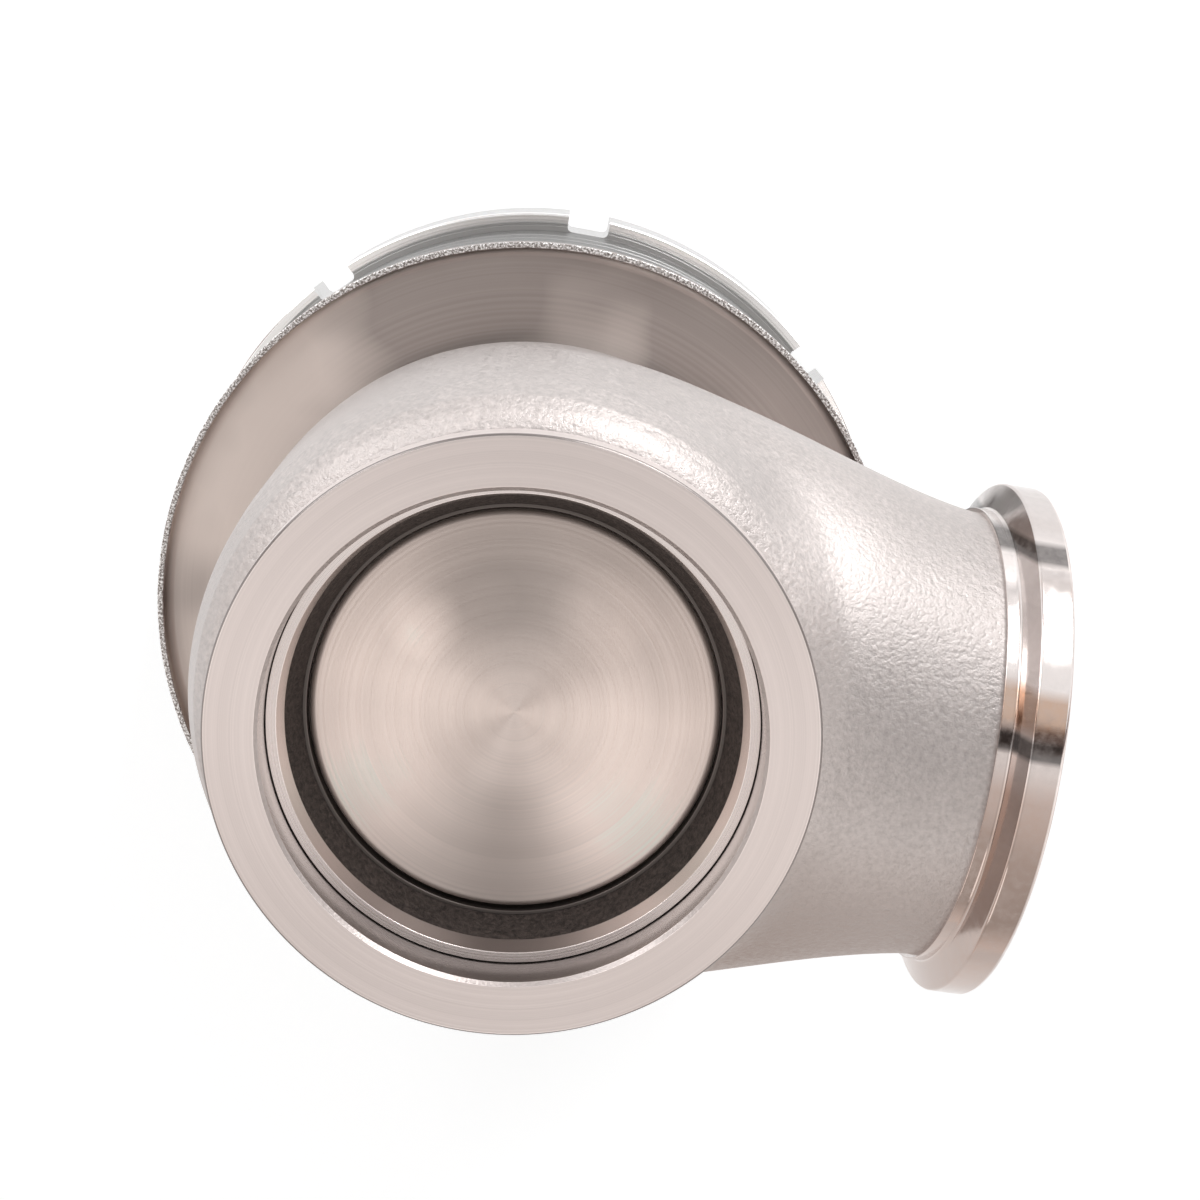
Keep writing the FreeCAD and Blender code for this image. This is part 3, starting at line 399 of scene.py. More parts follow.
def rounded_bar(inner, outer, width, corner, start, end):
    """A bar across the collar's edge: a rectangle with two rounded inner corners, swept down.

    The outline runs round the rectangle, with a quarter circle at each inner corner, and is
    repeated at the bar's two ends."""
    arc = np.linspace(0, SQUARE, 6)
    half = width / 2
    lower = np.stack([inner + corner - corner * np.sin(arc),
                      -half + corner - corner * np.cos(arc)], axis=1)
    outline = np.concatenate([[[outer, -half]], lower, lower[::-1] * (1, -1), [[outer, half]]])
    ends = np.array([-start, -end])
    grid = np.concatenate([np.broadcast_to(outline, (2, *outline.shape)),
                           np.broadcast_to(ends[:, None, None], (2, len(outline), 1))], axis=2)
    count = len(outline)
    index = np.arange(count)
    sides = np.stack([index, (index + 1) % count, (index + 1) % count + count, index + count],
                     axis=1)
    mesh = bpy.data.meshes.new("bar")
    mesh.from_pydata(grid.reshape(-1, 3), [],
                     [*sides.tolist(), index.tolist(), (index + count).tolist()])
    cleaned(mesh)
    return mesh


def face_centres(mesh):
    """(radius, depth) of every face's centre about the valve's axis."""
    centres = np.empty(len(mesh.polygons) * 3)
    mesh.polygons.foreach_get("center", centres)
    centres = centres.reshape(-1, 3)
    return np.hypot(centres[:, 0], centres[:, 1]), -centres[:, 2]


def paint(mesh, numbers):
    """Gives every face the finish with its number."""
    mesh.polygons.foreach_set("material_index", np.asarray(numbers, np.int32))


def outlet_frame(outlet):
    """Matrix that stands a piece turned about the valve's axis along the outlet's axis."""
    upright = Matrix.Rotation(SQUARE + outlet.tilt, 4, "Y")
    return Matrix.Translation((0, 0, -outlet.axis_depth)) @ upright @ Matrix.Scale(
        -1, 4, (0, 0, 1))


def along_outlet(mesh, outlet):
    """Moves a mesh turned about the valve's axis to the outlet's axis."""
    mesh.transform(outlet_frame(outlet))
    cleaned(mesh)
    smooth(mesh)
    return mesh


def smooth_least(first, second, softness):
    """The lesser of two fields, with the valley between them rounded.

    Within the softness of each other they are mixed, less a parabola of the mix."""
    share = np.clip(0.5 + 0.5 * (second - first) / softness, 0, 1)
    return second * (1 - share) + first * share - softness * share * (1 - share)


def casting_field(place, casting, outlet):
    """Below zero inside the casting: the rounded union of the barrel and the branch.

    The barrel's field is the distance from the axis less the barrel's radius at that depth.
    The branch's is how far the point's place in the oval passes one, times the neck's radius,
    and the oval's half width and half height are cubics through the four stations."""
    depth = -place[..., 2]
    spare = 0.004  # the skin runs on past both joints, where it is cut away
    start = casting.shoulder_depth, casting.shoulder_radius
    middle = np.array(BARREL_PROFILE) * MM + start
    joint = np.array([(casting.body_length, start[1] + 2.6 * MM),
                      (casting.body_length + 1.5 * spare, start[1] - 4 * MM)])
    front = middle[:1] - (2 * spare, 2.5 * spare)
    profile = np.concatenate([front, middle, joint])
    barrel = np.hypot(place[..., 0], place[..., 1]) - np.interp(
        depth, profile[:, 0], profile[:, 1])
    barrel = np.maximum(barrel, np.maximum(spare - depth, depth - casting.body_length - spare))
    axis = np.array([math.cos(outlet.tilt), 0, -math.sin(outlet.tilt)])
    rise = np.array([math.sin(outlet.tilt), 0, math.cos(outlet.tilt)])
    offset = place - np.array([0, 0, -outlet.axis_depth])
    along, height = offset @ axis, offset @ rise
    marks = np.array([0, 0.27, 0.6, 1.0]) * outlet.neck_end
    run = np.clip(along, 0, outlet.neck_end)
    narrowed = np.polyval(np.polyfit(marks, [0, 0.03, 0.47, 1.0], 3), run)
    lowered = np.polyval(np.polyfit(marks, [0, 0, 0.55, 1.0], 3), run)
    width = outlet.start_width + (outlet.neck - outlet.start_width) * narrowed
    tall = outlet.start_height + (outlet.neck - outlet.start_height) * lowered
    branch = (np.hypot(place[..., 1] / width, height / tall) - 1) * outlet.neck
    branch = np.maximum(branch, np.maximum(-along, along - outlet.neck_end - 1.5 * spare))
    return smooth_least(barrel, branch, casting.seam_round)


def casting_grid(outlet, field, rows=210, columns=360):
    """The casting's skin, seen from a point on the outlet's axis inside the chamber.

    The grid runs over directions, by the angle off the valve's axis and the turn about it,
    with more rows across the front shoulder. The point in each direction lies where the field
    is zero, found by halving."""
    off = np.radians(np.interp(np.linspace(0, 1, rows), [0, 0.08, 0.42, 1],
                               [0, 44, 68, 180]))[:, None]
    turn = np.linspace(0, 2 * math.pi, columns, endpoint=False)[None, :]
    ways = np.stack([np.sin(off) * np.cos(turn), np.sin(off) * np.sin(turn),
                     np.cos(off) + 0 * turn], axis=2)
    centre = np.array([0, 0, -outlet.axis_depth])
    near, far = np.full(ways.shape[:2], 0.015), np.full(ways.shape[:2], 0.12)
    halvings = 36
    for _ in range(halvings):
        middle = (near + far) / 2
        inside = field(centre + ways * middle[..., None]) < 0
        near, far = np.where(inside, middle, near), np.where(inside, far, middle)
    return centre + ways * near[..., None]


def duct_grid(outlet, rows=30):
    """The room inside the branch: an oval that opens out to the outlet's round bore.

    Its half width is the bore's radius. Its half height follows the parabola through the low
    start, the middle and the bore, and stays at the bore's radius from there on."""
    marks = [0, 0.028, outlet.duct_end]
    tall = [outlet.duct_height, outlet.duct_height + 0.001, outlet.bore]
    past_face = outlet.face + 0.01
    along = np.concatenate([np.linspace(0, outlet.duct_end, rows), [past_face]])
    height = np.polyval(np.polyfit(marks, tall, 2), np.minimum(along, outlet.duct_end))
    height = np.concatenate([[0], height, [0]])[:, None]
    width = np.full_like(height, outlet.bore)
    width[[0, -1]] = 0
    along = np.concatenate([along[:1], along, along[-1:]])[:, None]
    turn = np.linspace(0, 2 * math.pi, TURN_STEPS // 2, endpoint=False)[None, :]
    return np.stack([height * np.cos(turn), width * np.sin(turn), 0 * turn - along], axis=2)


# ------------------------------------------------------------------ finishes


class Nodes:
    """Adds shader nodes to a tree and links them."""

    def __init__(self, tree):
        self.tree = tree

    def node(self, kind, **facts):
        """A new node with the given settings."""
        made = self.tree.nodes.new(kind)
        for fact, value in facts.items():
            setattr(made, fact, value)
        return made

    def feed(self, source, target):
        """Links a socket, or sets a plain value."""
        if isinstance(source, bpy.types.NodeSocket):
            self.tree.links.new(source, target)
        else:
            target.default_value = source

    def sums(self, operation, *values):
        """The outcome of a Math node."""
        made = self.node("ShaderNodeMath", operation=operation)
        for number, value in enumerate(values):
            self.feed(value, made.inputs[number])
        return made.outputs[0]

    def parts(self, vector):
        """The x, y and z of a vector."""
        made = self.node("ShaderNodeSeparateXYZ")
        self.feed(vector, made.inputs[0])
        return made.outputs

    def spread(self, value, low, high, start=0.35, end=0.65):
        """Carries a value between start and end over to low and high."""
        made = self.node("ShaderNodeMapRange")
        for number, bound in enumerate((value, start, end, low, high)):
            self.feed(bound, made.inputs[number])
        return made.outputs[0]

    def away(self, value, middle):
        """How far a value lies from the middle, either way."""
        return self.sums("ABSOLUTE", self.sums("SUBTRACT", value, middle))

    def mix(self, share, first, second, blend="MIX"):
        """The first colour where the share is zero and the second where it is one."""
        made = self.node("ShaderNodeMix", data_type="RGBA", blend_type=blend)
        self.feed(share, made.inputs[0])
        for target, colour in ((made.inputs[6], first), (made.inputs[7], second)):
            self.feed(colour if isinstance(colour, bpy.types.NodeSocket) else (*colour, 1),
                      target)
        return made.outputs[2]

    def any_ray(self, *names):
        """One for rays of the named kinds, else zero."""
        path = self.node("ShaderNodeLightPath")
        total = path.outputs[names[0]]
        for name in names[1:]:
            total = self.sums("MAXIMUM", total, path.outputs[name])
        return total


class Finish(Nodes):
    """A procedural finish: a Principled shader and the nodes that vary it."""

    def __init__(self, name, metallic, roughness):
        self.material = bpy.data.materials.new(name)
        self.material.use_nodes = True
        super().__init__(self.material.node_tree)
        self.shader = self.tree.nodes["Principled BSDF"]
        self.set("Metallic", metallic)
        self.set("Roughness", roughness)
        self.coords = self.node("ShaderNodeTexCoord").outputs["Object"]

    def set(self, socket, value):
        """Sets a value on the shader."""
        self.shader.inputs[socket].default_value = value

    def colour(self, source):
        """Links the shader's colour."""
        self.feed(source, self.shader.inputs["Base Color"])

    def rough(self, source):
        """Links the shader's roughness."""
        self.feed(source, self.shader.inputs["Roughness"])

    def noise(self, scale, detail=2.0, rough=0.5, stretch=None):
        """Noise with about `scale` features in a metre."""
        made = self.node("ShaderNodeTexNoise")
        made.inputs["Scale"].default_value = scale
        made.inputs["Detail"].default_value = detail
        made.inputs["Roughness"].default_value = rough
        place = self.coords
        if stretch:
            mapping = self.node("ShaderNodeMapping")
            mapping.inputs["Scale"].default_value = stretch
            self.feed(place, mapping.inputs["Vector"])
            place = mapping.outputs["Vector"]
        self.feed(place, made.inputs["Vector"])
        return made.outputs["Fac"]

    def flat(self):
        """The place across the valve's axis, with its depth left out."""
        made = self.node("ShaderNodeVectorMath", operation="MULTIPLY")
        self.feed(self.coords, made.inputs[0])
        made.inputs[1].default_value = (1, 1, 0)
        return made.outputs[0]

    def squares(self):
        """The squares of x and y, and their sum."""
        x, y = self.parts(self.coords)[:2]
        across, along = self.sums("MULTIPLY", x, x), self.sums("MULTIPLY", y, y)
        return across, along, self.sums("ADD", across, along)

    def lathe(self, scale):
        """Fine rings as a lathe leaves them, about `scale` in a metre.

        They run by the distance from the valve's axis plus 1.3 times the height."""
        made = self.node("ShaderNodeTexNoise", noise_dimensions="1D")
        made.inputs["Scale"].default_value = scale
        made.inputs["Detail"].default_value = 3
        height = self.sums("MULTIPLY", self.parts(self.coords)[2], 1.3)
        self.feed(self.sums("ADD", self.sums("SQRT", self.squares()[2]), height),
                  made.inputs["W"])
        return made.outputs["Fac"]

    def painted_fans(self, sides, lobes):
        """Painted highlight and shade round the axis: brighter to both sides and in two low lobes,
        darker above and below.

        With c the cosine of twice the angle, it is one plus sides times c, plus lobes times
        (1 - 2 c c) where y is negative, and it fades to one at the middle."""
        across, along, total = self.squares()
        twice = self.sums("DIVIDE", self.sums("SUBTRACT", across, along),
                          self.sums("ADD", total, 1e-6))
        lobe = self.sums("SUBTRACT", lobes, self.sums(
            "MULTIPLY", self.sums("MULTIPLY", twice, twice), 2 * lobes))
        low = self.spread(self.parts(self.coords)[1], 1, 0, -0.012, 0.002)
        swing = self.sums("ADD", self.sums("MULTIPLY", twice, sides),
                          self.sums("MULTIPLY", lobe, low))
        faded = self.sums("MULTIPLY", swing, self.spread(total, 0, 1, 4e-6, 2e-4))
        return self.sums("ADD", 1.0, faded)

    def painted_spots(self, patches):
        """Painted highlight and painted shade: brightness one, raised or lowered by `gain` in soft
        round patches.

        Each patch is (x, y, radius, gain); it is full to a third of its radius and fades to
        nothing at the radius."""
        flat, total = self.flat(), 1.0
        for x, y, radius, gain in patches:
            apart = self.node("ShaderNodeVectorMath", operation="DISTANCE")
            self.feed(flat, apart.inputs[0])
            apart.inputs[1].default_value = (x, y, 0)
            total = self.sums("ADD", total, self.spread(
                apart.outputs["Value"], gain, 0, radius / 3, radius))
        return total

    def band(self, value, middle, half):
        """One where the value lies within half of middle, and soft at both edges."""
        return self.spread(self.away(value, middle), 1, 0, half * 0.7, half * 1.3)

    def brushed(self, share):
        """Points the brushed highlight straight out from the valve's axis."""
        self.feed(self.flat(), self.shader.inputs["Tangent"])
        self.set("Anisotropic", share)

    def bump(self, height, depth, strength=1.0):
        """Relief of `depth` metres, over any relief that is there already."""
        made = self.node("ShaderNodeBump")
        made.inputs["Strength"].default_value = strength
        made.inputs["Distance"].default_value = depth
        self.feed(height, made.inputs["Height"])
        normal = self.shader.inputs["Normal"]
        if normal.links:
            self.feed(normal.links[0].from_socket, made.inputs["Normal"])
        self.feed(made.outputs[0], normal)


def shade(colour, factor):
    """A colour made lighter or darker."""
    return tuple(min(1.0, part * factor) for part in colour)


def once(name, make):
    """The material with this name, made the first time it is asked for."""
    return bpy.data.materials.get(name) or make(name)


def cast_finish(colours):
    """Bead blasted casting: fine pits, soft blotches, painted shade on the underside, and painted
    highlight and shade on the branch.
    """
    def make(name):
        finish = Finish(name, 0.8, 0.45)
        grain = finish.noise(1250, 4.0, 0.6)
        blotch = finish.noise(55, 3.0, 0.5)
        tone = finish.mix(finish.spread(grain, 0, 1, 0.3, 0.7),
                          shade(colours.cast, 0.80), shade(colours.cast, 1.14))
        tone = finish.mix(finish.spread(blotch, 0, 0.35), tone, shade(colours.cast, 0.84))
        # Painted highlight on the seam and painted shade beside the outlet flange.
        tone = finish.mix(1.0, tone, finish.painted_spots(BRANCH_PAINTED_SHEEN), "MULTIPLY")
        # Painted shade: darker and browner towards the underside.
        low = finish.spread(finish.parts(finish.coords)[1], 0.9, 0, -0.034, -0.008)
        finish.colour(finish.mix(low, tone, colours.underside_shade))
        finish.rough(finish.spread(grain, 0.36, 0.55))
        finish.bump(finish.noise(500), 0.00016, 0.5)
        finish.bump(grain, 0.00026, 0.8)
        return finish.material
    return once("bead_blasted_casting", make)


def inside_finish(colours):
    """Rough cast passage, nearly black."""
    def make(name):
        finish = Finish(name, 0.7, 0.6)
        grain = finish.noise(1300, 4.0, 0.65)
        tone = finish.mix(finish.spread(grain, 0, 1), shade(colours.cast_inside, 0.6),
                          shade(colours.cast_inside, 1.6))
        finish.colour(tone)
        finish.bump(grain, 0.0005)
        return finish.material
    return once("rough_cast_passage", make)


def lathe_finish(name, colour, roughness, contrast=0.12, rings=5200, anisotropy=0.5,
                 painted_fans=(0, 0), patches=(), edge=1.0):
    """Turned metal: fine rings in tone, gloss and relief, and painted highlights and painted shade
    that spread in fan shapes and in patches.

    `edge` is how much of its mirror the metal keeps where it is seen along its surface."""
    def make(label):
        finish = Finish(label, 1.0, roughness)
        dark, pale = shade(colour, 1 - contrast), shade(colour, 1 + contrast)
        fine = finish.lathe(rings)
        wide = finish.lathe(rings / 9)
        marks = finish.sums("ADD", finish.sums("MULTIPLY", fine, 0.6),
                            finish.sums("MULTIPLY", wide, 0.4))
        tone = finish.mix(finish.spread(marks, 0, 1), dark, pale)
        tone = finish.mix(finish.spread(finish.noise(45), 0, 0.3), tone, dark)
        # Painted highlight and painted shade, multiplied into the colour.
        if any(painted_fans):
            tone = finish.mix(1.0, tone, finish.painted_fans(*painted_fans), "MULTIPLY")
        if patches:
            tone = finish.mix(1.0, tone, finish.painted_spots(patches), "MULTIPLY")
        finish.colour(tone)
        finish.rough(finish.spread(fine, roughness * 0.85, roughness * 1.2))
        finish.brushed(anisotropy)
        finish.set("Specular Tint", (edge, edge, edge, 1))
        finish.bump(fine, 0.000012, 0.5)
        return finish.material
    return once(name, make)


def can_finish(colours):
    """Satin aluminium that stays grey where it is seen along its side."""
    return lathe_finish("satin_can", colours.can, 0.30, contrast=0.05, rings=3000,
                        anisotropy=0.4, edge=0.4)


def sheet_finish(colours):
    """Spun sheet: faint rings, with painted highlights in paler patches that gather on its left side.
    """
    def make(name):
        finish = Finish(name, 1.0, 0.36)
        patches = finish.noise(34, 2.0, 0.45)
        # Painted highlights lean to the left, where x is negative.
        lean = finish.sums("MULTIPLY", finish.parts(finish.coords)[0], -3.4)
        pale = finish.spread(finish.sums("ADD", patches, lean), 0, 0.85, 0.5, 0.78)
        tone = finish.mix(finish.spread(finish.lathe(1800), 0, 1),
                          shade(colours.shield, 0.95), shade(colours.shield, 1.05))
        finish.colour(finish.mix(pale, tone, colours.shield_painted_sheen))
        finish.rough(finish.spread(patches, 0.28, 0.42))
        finish.brushed(0.7)
        finish.bump(finish.noise(30), 0.0006, 0.35)
        return finish.material
    return once("spun_shield", make)


def raw_edge_finish(colours):
    """The sheared edge of a sheet: painted glints, bright flecks on dark metal."""
    def make(name):
        finish = Finish(name, 1.0, 0.25)
        glint_specks = finish.noise(2600, 3.0, 0.7)
        finish.colour(finish.mix(finish.spread(glint_specks, 0, 1, 0.43, 0.60),
                                 shade(colours.shield, 0.6), colours.collar))
        finish.bump(glint_specks, 0.00012, 0.8)
        return finish.material
    return once("raw_sheet_edge", make)


def painted_reflection_bands(finish, tone, colours):
    """Painted reflections and painted shade in bands across the rim: copper over a dark line, browner
    below, greyer at the top.
    """
    height = finish.parts(finish.coords)[1]
    brown, grey = shade(colours.underside_shade, 1.35), shade(colours.polished, 0.7)
    copper, dark = shade(colours.copper_reflection, 1.45), shade(colours.polished, 0.22)
    for share, colour in (  # the later bands lie over the earlier ones
            (finish.spread(height, 0.85, 0, 0.001, 0.008), brown),
            (finish.spread(height, 0, 0.5, 0.034, 0.036), grey),
            (finish.band(height, 0.0135, 0.0028), copper),
            (finish.band(height, 0.0085, 0.0014), dark),
            (finish.band(height, 0.0338, 0.0012), dark)):
        tone = finish.mix(share, tone, colour)
    return tone


def streaked_finish(name, colours, banded=True):
    """Polished steel of the outlet flange with painted reflections: streaked copper along its axis,
    and bands.
    """
    def make(label):
        finish = Finish(label, 1.0, 0.12)
        reflection_streaks = finish.noise(80, 2.0, 0.5, stretch=(0.12, 1, 1))
        scuffs = finish.noise(700, 3.0, 0.6)
        tone = finish.mix(finish.spread(reflection_streaks, 0, 0.3, 0.52, 0.66), colours.polished,
                          colours.copper_reflection)
        if banded:
            tone = painted_reflection_bands(finish, tone, colours)
        tone = finish.mix(finish.spread(scuffs, 0, 0.2), tone, shade(colours.polished, 0.7))
        finish.colour(tone)
        finish.rough(finish.spread(scuffs, 0.09, 0.2))
        finish.bump(scuffs, 0.000006, 0.5)
        return finish.material
    return once(name, make)


def plain_finish(name, colour, metallic, roughness, grain=900, depth=0.00003):
    """A plain finish with fine grain in tone and relief."""
    def make(label):
        finish = Finish(label, metallic, roughness)
        speckle = finish.noise(grain, 3.0)
        finish.colour(finish.mix(speckle, shade(colour, 0.82), shade(colour, 1.18)))
        finish.rough(finish.spread(finish.noise(120), roughness * 0.85, roughness * 1.15))
        finish.bump(speckle, depth, 0.6)
        return finish.material
    return once(name, make)


# ------------------------------------------------------------------ operators


class WASTEGATE_OT_casting(Operator):
    """Build the cast body: barrel and branch in one skin, bored through."""

    bl_idname = "wastegate.casting"
    bl_label = "Cast body"

    def execute(self, context):
        casting, outlet, inlet, colours = groups(context, "casting", "outlet", "inlet",
                                                 "colours")
        skin = grid_mesh("casting", casting_grid(
            outlet, lambda place: casting_field(place, casting, outlet)), wrap_rows=False)
        skin.materials.append(cast_finish(colours))
        flange_wall = inlet.root - 0.0018
        seat_radius = widest("seat_insert") + 0.00005
        seat_end = far_end("seat_insert")
        seat_relief = seat_radius + 0.002
        end = casting.body_length
        chamber_start, chamber_end, spigot_start = seat_end + 0.0056, end - 0.0195, end - 0.0125
        front, rear = -0.005, end + 0.012  # past the casting at both ends
        passage = turned_mesh("passage", [
            (0, front),
            (casting.shoulder_radius, front),
            (casting.shoulder_radius, casting.shoulder_depth),
            (flange_wall, casting.shoulder_depth),
            (flange_wall, inlet.seat_depth),
            (seat_radius, inlet.seat_depth),
            (seat_radius, seat_end),
            (seat_relief, seat_end),
            (casting.chamber_radius, chamber_start, 0.002),
            (casting.chamber_radius, chamber_end, 0.008),
            (casting.rear_bore, spigot_start),
            (casting.rear_bore, end),
            (casting.land_radius, end),
            (casting.land_radius, rear),
            (0, rear),
        ])
        duct = along_outlet(grid_mesh("duct", duct_grid(outlet), wrap_rows=False), outlet)
        flange_start = outlet.neck_end + 0.0006
        neck_room = along_outlet(turned_mesh("neck_room", [
            (0, flange_start),
            (outlet.radius, flange_start),
            (outlet.radius, outlet.face),
            (0, outlet.face),
        ]), outlet)
        inside = inside_finish(colours)
        body = carved(skin, [tool("passage", passage, inside), tool("duct", duct, inside),
                             tool("neck_room", neck_room, cast_finish(colours))])
        body.materials.append(lathe_finish("satin_groove", colours.cast, 0.42))
        radius, depth = face_centres(body)
        shoulder = depth < casting.shoulder_depth + 0.0002
        groove_wall = shoulder & (radius < casting.shoulder_radius - 0.0032)
        numbers = np.empty(len(body.polygons), np.int32)
        body.polygons.foreach_get("material_index", numbers)
        numbers[shoulder] = 0
        numbers[groove_wall] = len(body.materials) - 1
        paint(body, numbers)
        piece("casting", body, [], "cast_body", stands_for=["valve_body"])
        return {"FINISHED"}


class WASTEGATE_OT_inlet(Operator):
    """Turn the inlet flange with its stepped bore."""

    bl_idname = "wastegate.inlet"
    bl_label = "Inlet flange"

    def execute(self, context):
        inlet, colours = groups(context, "inlet", "colours")
        rim, register, ledge_depth = inlet.rim, inlet.register, inlet.register_depth
        bevel, chamfer, taper = 0.0017, 0.0006, 0.0014
        groove_end = rim + 0.0085
        nick, relief, relief_end = register - 0.0001, register + 0.00015, ledge_depth + 0.0003
        corner_depth = ledge_depth - 0.0001
        cone_start, cone_radius = ledge_depth + 0.0033, inlet.mouth - 0.0008
        flange = turned_mesh("inlet_flange", [
            (register + chamfer, 0),
            (inlet.radius, 0, 0.0005),
            (inlet.radius, rim, 0.0005),
            (inlet.root, rim + bevel),
            (inlet.root, groove_end),
            (inlet.root - taper, inlet.seat_depth),
            (inlet.throat, inlet.seat_depth),
            (cone_radius, cone_start),
            (inlet.mouth, ledge_depth),
            (nick, ledge_depth),
            (nick, relief_end),
            (relief, relief_end),
            (relief, corner_depth),
            (register, corner_depth),
            (register, chamfer),
        ])
        smooth(flange)
        radius, depth = face_centres(flange)
        bore = radius < register + chamfer - 0.00005
        cone = (radius < inlet.mouth - 0.0002) & (depth > cone_start)
        ledge = (radius < nick) & (abs(depth - ledge_depth) < 0.0001)
        groove = (radius < inlet.radius - 0.0002) & (depth > rim * 0.8) & ~bore
        edge = (radius > inlet.radius - 0.0003) & (depth < 0.0004)
        mouth = (radius > register + 0.00005) & bore & (depth < chamfer - 0.00005)
        # Painted shade: the relief under the ledge gets the near-black passage finish.
        shaded_relief = (radius > register - 0.0002) & (depth > corner_depth) & bore
        paint(flange, np.select([cone, shaded_relief, ledge, mouth, bore, groove, edge],
                                [2, 2, 3, 6, 1, 4, 5], 0))
        piece("inlet_flange", flange, [
            # Painted highlight: the flange face is a little brighter to both sides.
            lathe_finish("satin_flange_face", colours.machined, 0.36, contrast=0.05,
                         rings=3800, anisotropy=0.45, painted_fans=(0.05, 0)),
            # Painted shade and highlight: the bore is a darker copy of the polished colour, brighter
            # to both sides and darker above and below.
            lathe_finish("turned_bore", shade(colours.polished, 0.68), 0.20, contrast=0.05,
                         rings=4200, anisotropy=0.3, painted_fans=(0.35, 0)),
            inside_finish(colours),
            # Painted highlight: the ledge is a lighter copy of the polished colour.
            lathe_finish("bright_ledge", shade(colours.polished, 1.1), 0.26),
            lathe_finish("satin_groove", colours.cast, 0.42),
            # Painted reflection: a dark line round the flange's outer edge.
            lathe_finish("painted_dark_edge", shade(colours.machined, 0.35), 0.30),
            # Painted shade: the chamfer is a darker copy of the machined colour, which dims its
            # highlight.
            plain_finish("mouth_chamfer", shade(colours.machined, 0.6), 1.0, 0.4,
                         grain=2600, depth=0.0001),
        ], "cast_body")
        return {"FINISHED"}


class WASTEGATE_OT_outlet(Operator):
    """Turn the outlet flange on its leaning axis."""

    bl_idname = "wastegate.outlet"
    bl_label = "Outlet flange"

    def execute(self, context):
        outlet, colours = groups(context, "outlet", "colours")
        back = outlet.face - outlet.rim
        step = outlet.face - outlet.register_depth
        bore = outlet.bore - 0.00003
        bevel, chamfer = 0.0017, 0.0006
        flange = turned_mesh("outlet_flange", [
            (outlet.register + chamfer, outlet.face),
            (outlet.radius, outlet.face, 0.0005),
            (outlet.radius, back, 0.0005),
            (outlet.root, back - bevel, 0.0006),
            (outlet.root, outlet.neck_end),
            (bore, outlet.neck_end),
            (bore, step),
            (outlet.register, step),
            (outlet.register, outlet.face - chamfer),
        ])
        radius, depth = face_centres(flange)
        paint(flange, (radius < outlet.neck - 0.0005) | (depth > outlet.face - chamfer))
        piece("outlet_flange", along_outlet(flange, outlet), [
            streaked_finish("polished_outlet_rim", colours),
            streaked_finish("polished_outlet_face", colours, banded=False),
        ], "cast_body")
        return {"FINISHED"}


class WASTEGATE_OT_valve(Operator):
    """Turn the poppet valve with its tulip and stem, and the seat ring around it."""

    bl_idname = "wastegate.valve"
    bl_label = "Valve and seat"

    def execute(self, context):
        valve, colours = groups(context, "valve", "colours")
        cone_start = valve.face_depth + 0.00205
        cone_end = cone_start + valve.rim_radius - valve.face_radius
        rim_end = cone_end + 0.0013
        tulip = [(0.021, 0.026, 0.008), (0.008, 0.031, 0.008), (valve.stem_radius, 0.039)]
        thread, shoulder = valve.stem_radius - 0.00075, near_end("spring_cup")
        turned_piece("valve", [
            (0, valve.face_depth - valve.crown),
            (valve.face_radius, valve.face_depth, 0.0012),
            (valve.face_radius, cone_start),
            (valve.rim_radius, cone_end),
            (valve.rim_radius, rim_end),
            *tulip,
            (valve.stem_radius, shoulder),
            (thread, shoulder),
            (thread, valve.stem_end, 0.0005),
            (0, valve.stem_end),
        # Painted highlights and painted shade on the valve's face: brighter sides, two low lobes and
        # the listed patches.
        ], [lathe_finish("turned_valve", colours.valve, 0.45, contrast=0.08, rings=2600,
                         anisotropy=0.85, painted_fans=(0.20, 0.12), patches=VALVE_PAINTED_SHEEN)],
            "valve", body="valve_train", stands_for=["valve"])
        start, end = near_end("seat_insert"), far_end("seat_insert")
        outer, lead = widest("seat_insert"), 0.002
        turned_piece("seat_ring", [
            (valve.seat_bore, start),
            (outer, start),
            (outer, end),
            (valve.seat_bore + lead, end),
            (valve.seat_bore, end - lead),
        # Painted shade: the seat ring is a near-black copy of the valve's colour, so it reads as the
        # dark gap round the valve.
        ], [lathe_finish("painted_shade_seat", shade(colours.valve, 0.16), 0.35)], "seat",
            stands_for=["seat_insert"])
        return {"FINISHED"}


class WASTEGATE_OT_bonnet(Operator):
    """Turn the bonnet that closes the body's rear and carries the guide."""

    bl_idname = "wastegate.bonnet"
    bl_label = "Bonnet"

    def execute(self, context):
        valve, colours, casting = groups(context, "valve", "colours", "casting")
        boss, start, end = near_end("guide_bonnet"), far_end("body_gasket"), far_end("guide_bonnet")
        outer, seal = widest("guide_bonnet"), widest("guide_seal")
        seal_start = near_end("guide_seal")
        spigot, spigot_end = casting.rear_bore - 0.0001, casting.body_length - 0.0035
        turned_piece("bonnet", [
            (valve.guide_radius, boss),
            (valve.boss_radius, boss, 0.001),
            (valve.boss_radius, spigot_end, 0.008),
            (spigot, spigot_end, 0.001),
            (spigot, start),
            (outer, start),
            (outer, end),
            (seal, end),
            (seal, seal_start),
            (valve.guide_radius, seal_start),
        ], [lathe_finish("turned_bonnet", colours.can, 0.36)], "bonnet",
            stands_for=["guide_bonnet"])
        return {"FINISHED"}


